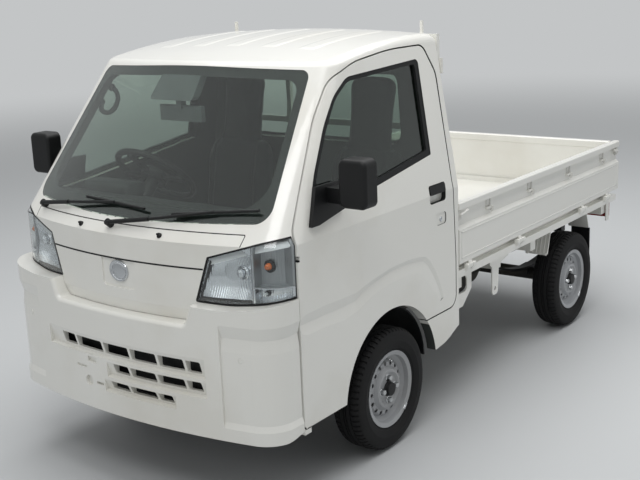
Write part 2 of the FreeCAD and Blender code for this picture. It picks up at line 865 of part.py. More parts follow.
room = cab_block(
    wall + gap + 1,
    front_wall + number(d.bulkhead) + seat_gap,
    number(d.roof_wall) + 1,
    wall + seat_gap,
    inner_floor,
)
sheet_t = number(d.floor_sheet)
floor_top = frame_front + sheet_t
deck_top = number(d.seat_deck_height)
step_y = -number(d.seat_deck_front)
FLOOR = [
    (-900, floor_top, 0),
    (step_y, floor_top, 30),
    (step_y, deck_top, 30),
    (600, deck_top, 0),
    (600, deck_low, 0),
    (step_y + sheet_t, deck_low, 14),
    (step_y + sheet_t, frame_front, 46),
    (-900, frame_front, 0),
]
floor_shape = side_prism(FLOOR, -800, 800).common(room)
post_room = block(post_out - 56, 800, -760, -566, 200, 1200)
floor_shape = floor_shape.cut(post_room).cut(mirror_of(post_room))
solid_piece("cab_floor", floor_shape)

# Seats


def seat(label, x):
    owner = new_body(label, x)
    deck = d.seat_deck_height
    outline = [
        (-190, deck + 0.3),
        (250, deck + 0.3),
        (350, deck + 30),
        (470, 1560),
        (450, 1590),
        (400, 1590),
        (370, 1560),
        (300, 1100),
        (250, 860),
        (190, 830),
        (-150, 850),
        (-200, 820),
    ]
    pad(owner, sketch(owner, "side", 0, outline), d.seat_width, 0)
    for side in (1, -1):
        shoulder = [
            (side * 115, 1650),
            (side * 130, 1400),
            (side * d.seat_width / 2, 1300),
            (side * (d.seat_width / 2 + 40), 1300),
            (side * (d.seat_width / 2 + 40), 1650),
        ]
        cut(owner, sketch(owner, "front", 0, shoulder))
    return keep(owner, label)


seat("seat_left", d.seat_x)
seat("seat_right", -d.seat_x)

# Dashboard, column and steering wheel


COLUMN_Y = -248
COLUMN_Z = 1159
column_tilt = Rotation(Vector(1, 0, 0), number(d.column_angle) - 90)


def place_on_column(item):
    item.Placement = Placement(Vector(-number(d.steering_x), COLUMN_Y, COLUMN_Z), column_tilt)
    bind(item, "Placement.Base.x", -d.steering_x)
    bind(item, "Placement.Base.y", front_axle + COLUMN_Y)


def steering_wheel():
    owner = doc.addObject("PartDesign::Body", "steering_wheel")
    rim = sketch(owner, "front", 0, Circle(d.steering_radius, 0, 14))
    turn(owner, rim, "V_Axis")
    pad(owner, sketch(owner, "plan", -34, Circle(0, 0, 62)), 30)
    spokes = sketch(owner, "plan", -22, rectangle(-d.steering_radius, -16, d.steering_radius, 16))
    pad(owner, spokes, 14)
    lower = sketch(owner, "plan", -22, rectangle(-16, -d.steering_radius, 16, 0))
    pad(owner, lower, 14)
    place_on_column(owner)
    return keep(owner, "steering_wheel")


steering_wheel()
COLUMN_LENGTH = 455
column = doc.addObject("PartDesign::Body", "steering_column")
pad(column, sketch(column, "plan", -COLUMN_LENGTH, Circle(0, 0, 30)), COLUMN_LENGTH - 34.3)
place_on_column(column)
keep(column, "steering_column")

DASH = [
    (-900, 790, 0),
    (-600, 790, 20),
    (-535, 850, 30),
    (-490, 960, 40),
    (-478, 1075, 40),
    (-530, 1132, 40),
    (-640, 1140, 120),
    (-900, 1112, 0),
]
column_way = column_tilt.multVec(Vector(0, 0, 1))
column_hub = Vector(-number(d.steering_x), COLUMN_Y, COLUMN_Z)
column_end = column_hub - column_way * (COLUMN_LENGTH + seat_gap)
column_hole = Part.makeCylinder(30 + seat_gap, 600, column_end, column_way)
dash_shape = side_prism(DASH, -800, 800).common(room).cut(column_hole)
dash_shape = dash_shape.cut(post_room).cut(mirror_of(post_room))
solid_piece("dashboard", dash_shape)

# Wheels


def rim(label, track, station, drum_radius):
    owner = new_body(label, track / 2, station, axle_height)
    seat_r = d.rim_seat_radius
    lip = seat_r + d.rim_flange
    half = d.rim_width / 2
    t = d.rim_sheet
    well = seat_r - 22
    face = d.disc_offset
    outline = [
        (face + t, d.centre_bore_radius),
        (face + t, 62),
        (face + 12, 74),
        (face + 10, 84),
        (face - 6, 97),
        (face - 8, 114),
        (20, well - t),
        (34, seat_r - 3 - t),
        (half + 3, seat_r - t),
        (half + 8, lip),
        (half + 4, lip),
        (half, seat_r),
        (30, seat_r - 3),
        (18, well),
        (-18, well),
        (-30, seat_r - 3),
        (-half, seat_r),
        (-half - 4, lip),
        (-half - 8, lip),
        (-half - 3, seat_r - t),
        (-34, seat_r - 3 - t),
        (-20, well - t),
        (14, well - t),
        (face - 12, 112),
        (face - 10, 95),
        (face + 6, 81),
        (face + 7, 75),
        (face, 65),
        (face, d.centre_bore_radius),
    ]
    turn(owner, sketch(owner, "plan", 0, outline), "H_Axis")
    vent = sketch(owner, "side", 0, Circle(d.vent_circle_radius, 0, d.vent_radius))
    ring_of(owner, cut(owner, vent), vent, d.vent_holes)
    doc.recompute()
    hub = [
        (face, 64),
        (face, d.spindle_radius + seat_gap),
        (22, d.spindle_radius + seat_gap),
        (22, 24),
        (-6, 24),
        (-6, drum_radius),
        (face - 14, drum_radius),
        (face - 8, 64),
    ]
    turn(owner, sketch(owner, "plan", 0, hub), "H_Axis")
    cap = [(face - 1, 0), (face + 24, 0), (face + 24, 22), (face + 18, 27), (face - 1, 29)]
    turn(owner, sketch(owner, "plan", 0, cap), "H_Axis")
    nut = sketch(owner, "side", face, Circle(d.stud_circle_radius, 0, d.nut_radius))
    ring_of(owner, pad(owner, nut, d.nut_height + t), nut, 4)
    return keep(owner, label)


TYRE_SIDES = 45


def tyre(label, track, station):
    """A hollow ring of many short flats, so that it stays light to draw."""
    seat_r = number(d.rim_seat_radius) + 0.8
    lip = number(d.rim_seat_radius + d.rim_flange)
    half = number(d.rim_width) / 2 - 0.3
    side = number(d.tyre_width) / 2
    top = number(d.tyre_radius)
    bead = [(half, seat_r), (half + 3.5, lip + 0.6)]
    outside = [(side - 1, lip + 32), (side - 4, top - 27), (side - 20, top)]
    inside = [(side - 24, top - 15), (side - 12, lip + 28), (half - 12, seat_r)]
    section = bead + outside
    section += [(-x, r) for x, r in reversed(bead + outside)]
    section += [(-x, r) for x, r in reversed(inside)] + inside
    rings = []
    for step in range(TYRE_SIDES):
        angle = 2 * math.pi * step / TYRE_SIDES - math.pi / 2
        rings.append([Vector(x, r * math.cos(angle), r * math.sin(angle)) for x, r in section])
    faces = []
    for ring, follower in zip(rings, rings[1:] + rings[:1]):
        for index in range(len(section)):
            last = (index + 1) % len(section)
            corners = [ring[index], ring[last], follower[last], follower[index]]
            faces.append(Part.Face(Part.makePolygon(corners + corners[:1])))
    item = doc.addObject("Part::Feature", label)
    item.Shape = Part.Solid(Part.Shell(faces))
    if item.Shape.Volume < 0:
        item.Shape = item.Shape.reversed()
    bind(item, "Placement.Base.x", track / 2)
    bind(item, "Placement.Base.y", front_axle + station)
    bind(item, "Placement.Base.z", axle_height)
    return keep(item, label)


AXLES = (("front", d.front_track, as_size(0), 62), ("rear", d.rear_track, d.wheelbase, 95))
for end, track, station, drum in AXLES:
    mirrored("rim_%s_right" % end, rim("rim_%s_left" % end, track, station, drum))
    mirrored("tyre_%s_right" % end, tyre("tyre_%s_left" % end, track, station))

# Knuckles, suspension and axles

STRUT_LOW = 345
STRUT_JOINT = 520
STRUT_TOP = 612


def king_x(z):
    """Where the leaning steering axis stands at a height."""
    return d.king_x - (as_size(z) - d.king_height) * d.king_lean


def round_bar(owner, low, high, radius):
    """A round bar along the steering axis."""
    profile = [
        (king_x(low), low),
        (king_x(high), high),
        (king_x(high) + radius, high),
        (king_x(low) + radius, low),
    ]
    return turn(owner, sketch(owner, "front", 0, profile), "Edge1")


def knuckle():
    owner = new_body("knuckle_left")
    inner = king_x(axle_height) - 18
    hub_face = d.front_track / 2
    low = d.king_height + 14
    upright = [(-26, low), (26, low), (34, axle_height), (24, 372), (-24, 372), (-34, axle_height)]
    pad(owner, sketch(owner, "side", inner, upright), 34)
    round_bar(owner, as_size(STRUT_LOW), as_size(STRUT_JOINT), 20)
    round_bar(owner, d.king_height + 9.8, d.king_height + 30, 5)
    pad(owner, sketch(owner, "side", inner, Circle(0, axle_height, 24)), hub_face - 10 - inner)
    spindle = sketch(owner, "side", inner, Circle(0, axle_height, d.spindle_radius))
    pad(owner, spindle, hub_face + d.disc_offset - 2 - inner)
    arm = [(inner, 10), (inner + 26, 10), (inner + 2, 130), (inner - 24, 130)]
    pad(owner, sketch(owner, "plan", 216, arm), 18)
    return keep(owner, "knuckle_left")


mirrored("knuckle_right", knuckle())


def front_suspension():
    owner = new_body("front_suspension")
    pad(owner, sketch(owner, "plan", 226, rectangle(-330, -60, 330, 20)), 58)
    for side in (1, -1):
        leg = sketch(owner, "plan", 226, rectangle(side * 290, -60, side * 365, 20))
        pad(owner, leg, d.rail_front_bottom - 226 - seat_gap)
        arm = [
            (side * 300, -60),
            (side * (d.king_x + 16), -16),
            (side * (d.king_x + 16), 16),
            (side * 300, 20),
        ]
        pad(owner, sketch(owner, "plan", 162, arm), 20)
        pad(owner, sketch(owner, "plan", 162, rectangle(side * 300, -60, side * 330, 20)), 70)
        pad(owner, sketch(owner, "plan", 162, Circle(side * d.king_x, 0, 14)), d.king_height + 8 - 162)
    return keep(owner, "front_suspension")


front_suspension()
strut = new_body("strut_left")
round_bar(strut, as_size(STRUT_JOINT + seat_gap), as_size(STRUT_TOP - 10), 11)
pad(strut, sketch(strut, "plan", STRUT_TOP - 14, Circle(king_x(STRUT_TOP), 0, 52)), 14 - seat_gap)
both_sides("front_struts", strut)


def root(size):
    return Size(math.sqrt(size.value), "sqrt(%s)" % size.text)


def arch_liner():
    """Inner wheel house: a bowed sheet over the wheel with an apron up to the seat deck."""
    owner = new_body("liner_left")
    centre_y = -d.arch_centre
    outside = d.arch_radius - 6
    inside = outside - 7
    inner_x = 400
    outer_x = half_width - d.wall - d.door_gap - 6
    reach_z = d.arch_height + 30
    wide_out = root(outside * outside - as_size(900))
    wide_in = root(inside * inside - as_size(900))
    sheet_outline = [
        Bend(centre_y + wide_out, reach_z, outside),
        (centre_y - wide_out, reach_z),
        Bend(centre_y - wide_in, reach_z, -inside),
        (centre_y + wide_in, reach_z),
    ]
    pad(owner, sketch(owner, "side", inner_x, sheet_outline), outer_x - inner_x)
    apron = [
        Bend(centre_y + wide_out, reach_z, outside),
        (centre_y - wide_out, reach_z),
        (centre_y - wide_out, d.seat_deck_height - d.floor_sheet - seat_gap),
        (centre_y + wide_out, d.seat_deck_height - d.floor_sheet - seat_gap),
    ]
    pad(owner, sketch(owner, "side", inner_x, apron), 8)
    return owner


both_sides("arch_liners", arch_liner())

DIFFERENTIAL = 105
rear_axle = new_body("rear_axle", 0, d.wheelbase, axle_height)
pad(rear_axle, sketch(rear_axle, "side", 0, Circle(0, 0, 34)), d.rear_track - 60, 0)
half_shafts = sketch(rear_axle, "side", 0, Circle(0, 0, d.spindle_radius))
pad(rear_axle, half_shafts, d.rear_track + (d.disc_offset - 2) * 2, 0)
pad(rear_axle, sketch(rear_axle, "side", 0, Circle(0, 0, DIFFERENTIAL)), 150, 0)
for side in (1, -1):
    saddle = sketch(rear_axle, "plan", 0, rectangle(side * 402, -50, side * 458, 50))
    pad(rear_axle, saddle, 48 - seat_gap)
keep(rear_axle, "rear_axle")

springs = new_body("spring_left", 430, d.wheelbase, axle_height)
leaf = [
    Bend(-450, 140, 1150),
    (450, 140),
    Bend(450, 154, -1150),
    (-450, 154),
]
pad(springs, sketch(springs, "side", 0, leaf), 50)
both_sides("leaf_springs", springs)

# Ladder frame


def chassis_frame():
    owner = new_body("chassis_frame")
    low = d.rail_front_bottom
    high = d.rail_rear_bottom
    tall = d.rail_height
    tail = d.wheelbase + d.rear_overhang - 60
    outline = [
        (-790, low),
        (420, low),
        (640, high),
        (tail, high),
        (tail, high + tall),
        (600, high + tall),
        (380, low + tall),
        (-790, low + tall),
    ]
    for side in (1, -1):
        rail = sketch(owner, "side", side * d.rail_x, outline)
        pad(owner, rail, d.rail_width, 0)
    inside = d.rail_x * 2
    for station in (-770, 330, 900, 1450, 2430):
        z = low + 10 if station < 400 else high + 20
        cross = sketch(owner, "side", 0, rectangle(station - 25, z, station + 25, z + 60))
        pad(owner, cross, inside, 0)
    outer_face = d.rail_x + d.rail_width / 2
    spring_top = axle_height + 154 + seat_gap
    for side in (1, -1):
        for station in (d.wheelbase - 440, d.wheelbase + 440):
            hanger = rectangle(station - 26, spring_top, station + 26, spring_top + 70)
            reach = sketch(owner, "side", side * (outer_face - 5), hanger)
            pad(owner, reach, 95, side)
        mount = sketch(owner, "side", side * (230 + seat_gap), rectangle(40, 350, 110, 400))
        pad(owner, mount, d.rail_x - 230 - seat_gap, side)
    for station in (840, 1200):
        strap = sketch(owner, "side", -outer_face, rectangle(station - 20, 460, station + 20, 500))
        pad(owner, strap, 400 - outer_face - seat_gap, -1)
    return keep(owner, "chassis_frame")


chassis_frame()

engine = new_body("engine_block")
pad(engine, sketch(engine, "plan", 290, rectangle(-230, -150, 230, 300)), 340)
keep(engine, "engine_block")
shaft = new_body("drive_shaft", 0, 0, 0)
shaft_length = d.wheelbase - 300 - DIFFERENTIAL - seat_gap * 2
pad(shaft, sketch(shaft, "front", 300 + seat_gap, Circle(0, 300, 30)), shaft_length, 1)
keep(shaft, "drive_shaft")
tank = new_body("fuel_tank")
pad(tank, sketch(tank, "plan", 330, rectangle(-620, 760, -400, 1300)), 190)
keep(tank, "fuel_tank")


def rod(start, end, radius):
    way = end - start
    return Part.makeCylinder(radius, way.Length, start, way)


def bent_pipe(places, radius):
    """A round pipe through the given places, with ball-shaped elbows."""
    shape = rod(places[0], places[1], radius)
    for start, end in zip(places[1:], places[2:]):
        shape = shape.fuse(Part.makeSphere(radius, start)).fuse(rod(start, end, radius))
    return shape


EXHAUST_X = 215
PIPE = 21
MUFFLER = (1040, 1430, 76)
EXHAUST = [
    Vector(EXHAUST_X, 300 + seat_gap, 312),
    Vector(EXHAUST_X, 1700, 312),
    Vector(EXHAUST_X, 1830, 352),
    Vector(EXHAUST_X, 1980, 352),
    Vector(EXHAUST_X, 2130, 330),
    Vector(EXHAUST_X, 2440, 330),
]
front_end, rear_end, muffler_radius = MUFFLER
muffler = rod(Vector(EXHAUST_X, front_end, 312), Vector(EXHAUST_X, rear_end, 312), muffler_radius)
solid_piece("exhaust", bent_pipe(EXHAUST, PIPE).fuse(muffler))

# Bed


HINGES = (670, 1190, 1980, 2337)
TAIL_HINGES = (-520, 0, 520)
tail = d.wheelbase + d.rear_overhang
tail_face = tail - 20
gate_face = half_width - d.gate_inset
side_axis_x = gate_face + d.gate_axis_out
tail_axis_y = tail_face + d.gate_axis_out
rail_top = d.bed_floor_height - d.rail_drop
rail_low = rail_top - 34
HEADBOARD = 24
ROPE_HOOKS = (883, 1334, 1811, 2284)


def ear(axis, low, high):
    """Lug of the bed's rail that carries a gate's hinge pin."""
    return [
        (low, high - 22),
        (axis + 4, d.gate_axis_height - 10),
        (axis + 8, d.gate_axis_height),
        (axis, d.gate_axis_height + 8),
        (axis - 8, d.gate_axis_height),
        (low, high - 2),
    ]


def strap(axis, face):
    """Web of a gate's hinge, from the gate down to the barrel."""
    return [
        (face - 16, d.gate_bottom + 8),
        (face - 3, d.gate_bottom + 8),
        (axis + 6, d.gate_axis_height + 4),
        (axis - 6, d.gate_axis_height + 4),
    ]


def bed_floor():
    owner = new_body("bed_floor")
    top = d.bed_floor_height
    inner = gate_face - 46
    plate = rectangle(-inner, d.bed_front + HEADBOARD + seat_gap, inner, tail_face - 46)
    pad(owner, sketch(owner, "plan", top - d.bed_floor_sheet, plate), d.bed_floor_sheet)
    for side in (1, -1):
        rail = rectangle(side * (gate_face - 46), rail_low, side * (gate_face - 4), rail_top)
        pad(owner, sketch(owner, "front", d.bed_front, rail), tail_face - 4 - d.bed_front, 1)
        curb = rectangle(side * (gate_face - 46), rail_low, side * (gate_face - 40), d.gate_bottom + 12)
        pad(owner, sketch(owner, "front", d.bed_front, curb), tail_face - 40 - d.bed_front, 1)
    end_sill = [
        (tail_face - 46, rail_low),
        (tail_face - 4, rail_low),
        (tail_face - 4, rail_top),
        (tail_face - 40, rail_top),
        (tail_face - 40, d.gate_bottom + 12),
        (tail_face - 46, d.gate_bottom + 12),
    ]
    pad(owner, sketch(owner, "side", 0, end_sill), gate_face * 2 - 92, 0)
    corner_sill = rectangle(tail_face - 46, rail_low, tail_face - 4, rail_top)
    pad(owner, sketch(owner, "side", 0, corner_sill), gate_face * 2 - 8, 0)
    bar_low = d.rail_rear_bottom + d.rail_height + seat_gap
    for station in (640, 1040, 1440, 2400):
        sill_bar = rectangle(station - 30, bar_low, station + 30, rail_top)
        pad(owner, sketch(owner, "side", 0, sill_bar), gate_face * 2 - 90, 0)
    for side in (1, -1):
        for station in HINGES:
            lug = [(side * u, v) for u, v in ear(side_axis_x, gate_face - 6, rail_top)]
            for start in (station - 36, station + 16):
                pad(owner, sketch(owner, "front", start, lug), 20, 1)
            hinge_pin = Circle(side * side_axis_x, d.gate_axis_height, d.gate_pin_radius)
            pad(owner, sketch(owner, "front", station - 36, hinge_pin), 72, 1)
    for x in TAIL_HINGES:
        for start in (x - 36, x + 16):
            pad(owner, sketch(owner, "side", start, ear(tail_axis_y, tail_face - 6, rail_top)), 20, 1)
        hinge_pin = Circle(tail_axis_y, d.gate_axis_height, d.gate_pin_radius)
        pad(owner, sketch(owner, "side", x - 36, hinge_pin), 72, 1)
    return keep(owner, "bed_floor")


bed_floor()


def gate_section(face):
    """Section of a gate: pressed skin, ledge, recessed band and top rail."""
    inside = face - d.gate_thickness
    low = d.gate_bottom
    high = d.gate_top
    return [
        (inside, low),
        (face, low),
        (face, low + 160),
        (face - 20, low + 176),
        (face - 20, high - 42),
        (face, high - 34),
        (face, high - 6),
        (face - 6, high),
        (inside + 2, high),
        (inside - 4, high - 6),
        (inside - 4, high - 40),
        (inside, high - 44),
    ]


def gate_hinge(owner, view, start, axis, face):
    """Web and barrel of one hinge, bored for the pin."""
    pad(owner, sketch(owner, view, start, strap(axis, face)), 28, 1)
    pad(owner, sketch(owner, view, start, Circle(axis, d.gate_axis_height, d.gate_barrel)), 28, 1)
    ring = Circle(axis, d.gate_axis_height, d.gate_pin_radius + seat_gap)
    cut(owner, sketch(owner, view, start - 1, ring), 30, 1)


def side_gate():
    owner = new_body("gate_left")
    pad(owner, sketch(owner, "front", d.bed_front + 4, gate_section(gate_face)), tail - d.bed_front - 4, 1)
    for station in ROPE_HOOKS:
        hook = rectangle(station - 24, 882, station + 24, 892)
        pad(owner, sketch(owner, "side", gate_face - 22, hook), 16, 1)
    for station in HINGES:
        gate_hinge(owner, "front", station - 14, side_axis_x, gate_face)
    return keep(owner, "gate_left")


mirrored("gate_right", side_gate())


def tailgate():
    owner = new_body("tailgate")
    wide = gate_face * 2 - d.gate_thickness * 2 - 8 - d.gate_gap * 2
    pad(owner, sketch(owner, "side", 0, gate_section(tail_face)), wide, 0)
    for x in TAIL_HINGES:
        gate_hinge(owner, "side", x - 14, tail_axis_y, tail_face)
    return keep(owner, "tailgate")


tailgate()
board_half = gate_face - 46 - seat_gap
board_top = 950
headboard = new_body("bed_headboard")
board = rectangle(-board_half, rail_low, board_half, board_top)
pad(headboard, sketch(headboard, "front", d.bed_front, board), HEADBOARD, 1)
keep(headboard, "bed_headboard")


def guard_frame():
    owner = new_body("guard_frame")
    front = d.bed_front
    for x in (-612, -220, 220, 612):
        post = rectangle(x - 13, front, x + 13, front + 24)
        pad(owner, sketch(owner, "plan", board_top + seat_gap, post), 1722 - board_top)
    for z in (board_top + seat_gap, 1290, 1694):
        bar = rectangle(front, z, front + 24, z + 28)
        pad(owner, sketch(owner, "side", 0, bar), 1250, 0)
    for x in (-542, 542):
        loop = rectangle(x - 6, 1710, x + 6, 1780)
        pad(owner, sketch(owner, "front", front + 6, loop), 12, 1)
    for side in (1, -1):
        pad(owner, sketch(owner, "front", front + 6, rectangle(side * 618, 1577, side * 640, 1589)), 12, 1)
        pad(owner, sketch(owner, "front", front + 6, rectangle(side * 634, 1549, side * 646, 1617)), 12, 1)
    return keep(owner, "guard_frame")


guard_frame()


def rear_arch():
    """Wheel house under the bed: front wall, top and rear wall in one bent sheet."""
    owner = new_body("rear_arch_left", 0, d.wheelbase)
    top = rail_top - seat_gap
    outline = [
        (-290, 470),
        (-245, top - 28),
        (-200, top),
        (210, top),
        (250, top - 28),
        (295, 500),
        (287, 500),
        (243, top - 34),
        (206, top - 8),
        (-196, top - 8),
        (-238, top - 34),
        (-282, 470),
    ]
    pad(owner, sketch(owner, "side", 560, outline), gate_face - 46 - 560)
    return owner


both_sides("rear_wheel_arches", rear_arch())
flap = new_body("flap_left", 0, d.wheelbase)
flap_area = rectangle(578, 286, 690, 294)
pad(flap, sketch(flap, "plan", 285, flap_area), 500 - 285 - seat_gap)
both_sides("mudflaps", flap)
lamp = new_body("tail_lamp_left")
lamp_area = rectangle(470, tail_face - 42, 688, tail_face - 4)
pad(lamp, sketch(lamp, "plan", 512, lamp_area), rail_low - 512 - seat_gap)
both_sides("tail_lamps", lamp)


def bed_bracket():
    """Front bracket of the bed: a plate under the rail with a window."""
    owner = new_body("bracket_left")
    plate = [(553, bracket_top), (553, 462), (566, 449), (660, 449), (747, 520), (747, bracket_top)]
    pad(owner, sketch(owner, "side", bracket_x, plate), 6)
    cut(owner, sketch(owner, "side", bracket_x, soft_rectangle(579, 517, 703, 595, 24)))
    return owner


def middle_bracket():
    """Second bracket of the bed: a wide head with a stem that has one hole."""
    owner = new_body("stay_left")
    head = 566
    plate = [
        (936, bracket_top),
        (936, head + 16),
        (958, head),
        (962, 432),
        (974, 420),
        (1008, 420),
        (1020, 432),
        (1030, head),
        (1133, head + 24),
        (1133, bracket_top),
    ]
    pad(owner, sketch(owner, "side", bracket_x, plate), 6)
    cut(owner, sketch(owner, "side", bracket_x, Circle(991, 451, 11)))
    return owner


def tail_bracket():
    owner = new_body("tail_stay_left")
    pad(owner, sketch(owner, "side", bracket_x, rectangle(2424, 494, 2466, bracket_top)), 6)
    return owner


bracket_x = gate_face - 40
bracket_top = rail_low - seat_gap
both_sides("bed_brackets", bed_bracket(), middle_bracket(), tail_bracket())


def mirror_unit():
    """Door mirror: a foot on the door's skin, an arm and the head."""
    owner = new_body("mirror_left")

    def skin_x(z):
        return half_width - d.tumblehome * (as_size(z) - d.belt_height) + seat_gap

    sail = [(skin_x(1098), 1098), (skin_x(1098) + 16, 1098), (skin_x(1236) + 16, 1236), (skin_x(1236), 1236)]
    pad(owner, sketch(owner, "front", -560, sail), 225, 1)
    cut(owner, sketch(owner, "side", 750, [(-600, 1090), (-556, 1090), (-488, 1240), (-600, 1240)]))
    cut(owner, sketch(owner, "side", 750, [(-552, 1090), (-330, 1090), (-330, 1128)]))
    arm = [(724, -430), (724, -372), (822, -398), (822, -440)]
    pad(owner, sketch(owner, "plan", 1168, arm), 58)
    head = soft_rectangle(804, 1160, 928, 1344, as_size(27))
    pad(owner, sketch(owner, "front", -466, head), 76, 1)
    rounded(owner, 14, lambda p, e: abs(p.y + 466) < 1 and p.x > 800)
    return keep(owner, "mirror_left")


mirrored("mirror_right", mirror_unit())

# Pieces on the windscreen

SCREEN_NORMAL = Vector(0, -0.777, 0.629)
BLADE_LIFT = 19


def wiper(pivot, foot, elbow, inner_end, outer_end):
    """A spindle on the cowl, an arm over the glass and the blade across its end."""
    lift = SCREEN_NORMAL * BLADE_LIFT
    middle = (inner_end + outer_end) / 2 + SCREEN_NORMAL * (BLADE_LIFT + 4)
    spindle = rod(pivot + SCREEN_NORMAL * foot, pivot + SCREEN_NORMAL * 30, 14)
    arm = rod(pivot + SCREEN_NORMAL * 24, elbow + SCREEN_NORMAL * 24, 9)
    reach = rod(elbow + SCREEN_NORMAL * 24, middle, 6)
    return spindle.fuse(arm).fuse(reach).fuse(rod(inner_end + lift, outer_end + lift, 6))


right_wiper = wiper(
    Vector(-521, -729, 1097),
    3.0,
    Vector(-330, -752, 1122),
    Vector(-234, -739, 1153),
    Vector(111, -760, 1140),
)
left_wiper = wiper(
    Vector(-41, -811, 1080),
    0.6,
    Vector(160, -786, 1108),
    Vector(249, -754, 1132),
    Vector(598, -656, 1160),
)
solid_piece("wipers", Part.makeCompound([right_wiper, left_wiper]))
HOUSING = [(-155, 1523, 14), (86, 1523, 14), (76, 1618, 8), (-145, 1618, 8)]
behind_glass = cab_block(10, number(d.glass) + seat_gap, 40, 50, 1300)
behind_glass = behind_glass.cut(cab_block(10, 46, -OVER, -OVER, 1300))
housing = behind_glass.common(front_prism(HOUSING, -600, -200))
mirror_stem = block(-14, 14, -432, -402, 1488, 1532)
mirror_head = block(-115, 115, -424, -402, 1436, 1500)
solid_piece("cabin_mirror", housing.fuse(mirror_stem).fuse(mirror_head))

doc.recompute()


def faulty(item):
    return any(word in ("Invalid", "Error") for word in item.State)


for item in doc.Objects:
    if faulty(item):
        raise RuntimeError("%s did not compute" % item.Label)
for item in pieces:
    if item.Shape.isNull() or not item.Shape.isValid():
        raise RuntimeError("%s has no valid shape" % item.Label)
    print(item.Label, len(item.Shape.Solids), round(item.Shape.Volume / 1e6, 2))

os.makedirs("parts", exist_ok=True)
for item in pieces:
    item.Shape.exportStep("parts/%s.step" % item.Label)
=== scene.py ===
import math

import bmesh
import bpy
from mathutils import Matrix, Vector
from mathutils.bvhtree import BVHTree


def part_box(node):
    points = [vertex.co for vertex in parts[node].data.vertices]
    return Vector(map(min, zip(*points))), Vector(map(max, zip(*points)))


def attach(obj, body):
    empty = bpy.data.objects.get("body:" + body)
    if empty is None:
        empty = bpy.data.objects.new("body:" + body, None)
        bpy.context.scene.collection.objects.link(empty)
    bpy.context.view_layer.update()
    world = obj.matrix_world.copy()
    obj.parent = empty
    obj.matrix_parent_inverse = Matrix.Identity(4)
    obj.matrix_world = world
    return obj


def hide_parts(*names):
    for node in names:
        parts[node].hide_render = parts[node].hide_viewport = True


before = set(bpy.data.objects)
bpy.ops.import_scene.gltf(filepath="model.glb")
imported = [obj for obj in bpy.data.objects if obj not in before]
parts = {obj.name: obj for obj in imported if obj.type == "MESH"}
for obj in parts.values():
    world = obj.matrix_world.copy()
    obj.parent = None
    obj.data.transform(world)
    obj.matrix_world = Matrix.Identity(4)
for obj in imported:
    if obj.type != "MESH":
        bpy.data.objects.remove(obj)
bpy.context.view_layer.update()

# Body panels: pressed steel sheet, primed and sprayed in a solid warm white enamel under clear lacquer.
# The lacquer is glossy but carries a faint orange peel, and soft patches of dust dull it slightly.
# Inside the cab the same panels are lined with grey moulded trim, on the faces towards CABIN_MIDDLE.

CABIN_MIDDLE = (0.0, -0.95, 1.1)
TRIM_ROUGHNESS = 0.65
DUST_ROUGHNESS = 0.08
PEEL_GRAIN = 0.004
PEEL_HEIGHT = 0.00002


def linear(colour):
    """An sRGB hex colour as the linear values that a shader takes."""
    channels = []
    for start in (1, 3, 5):
        value = int(colour[start : start + 2], 16) / 255
        channels.append(value / 12.92 if value <= 0.04045 else ((value + 0.055) / 1.055) ** 2.4)
    return (*channels, 1.0)


def add(surface, kind, inputs=(), **settings):
    """Adds a shader node. Each input takes a value, or the output socket that feeds it."""
    made = surface.node_tree.nodes.new(kind)
    for name, value in settings.items():
        setattr(made, name, value)
    for name, value in dict(inputs).items():
        if isinstance(value, bpy.types.NodeSocket):
            surface.node_tree.links.new(value, made.inputs[name])
        else:
            made.inputs[name].default_value = value
    return made


def new_material(name):
    """A material without nodes, ready for its own."""
    surface = bpy.data.materials.new(name)
    surface.use_nodes = True
    surface.node_tree.nodes.clear()
    return surface


def close_material(surface, shader):
    """Leads a shader to the material's output."""
    add(surface, "ShaderNodeOutputMaterial", {"Surface": shader.outputs[0]})
    return surface


def clean_and_soiled(surface, colour, soiled, grain, low, high):
    """A colour that drifts towards a soiled one in soft patches. The grain is the patches' size in metres."""
    place = add(surface, "ShaderNodeTexCoord").outputs["Object"]
    patches = add(surface, "ShaderNodeTexNoise", {"Vector": place, "Scale": 1 / grain, "Detail": 5.0})
    share = add(
        surface,
        "ShaderNodeMapRange",
        {"Value": patches.outputs["Fac"], "From Min": low, "From Max": high},
    )
    return place, share.outputs[0], mixed(surface, share.outputs[0], linear(colour), linear(soiled))


def mixed(surface, factor, first, second):
    """A colour between two, where a factor of 0 gives the first."""
    blend = add(surface, "ShaderNodeMix", {"Factor": factor}, data_type="RGBA")
    for socket, value in ((blend.inputs[6], first), (blend.inputs[7], second)):
        if isinstance(value, bpy.types.NodeSocket):
            surface.node_tree.links.new(value, socket)
        else:
            socket.default_value = value
    return blend.outputs["Result"]


def ranged(surface, factor, low, high):
    """A value that runs from low to high as a factor runs from 0 to 1."""
    return add(surface, "ShaderNodeMapRange", {"Value": factor, "To Min": low, "To Max": high}).outputs[0]


def relief(surface, place, grain, height):
    """A fine bump of a real grain size and height, both in metres."""
    bumps = add(surface, "ShaderNodeTexNoise", {"Vector": place, "Scale": 1 / grain, "Detail": 2.0})
    return add(
        surface,
        "ShaderNodeBump",
        {"Height": bumps.outputs["Fac"], "Distance": height, "Strength": 1.0},
    ).outputs["Normal"]


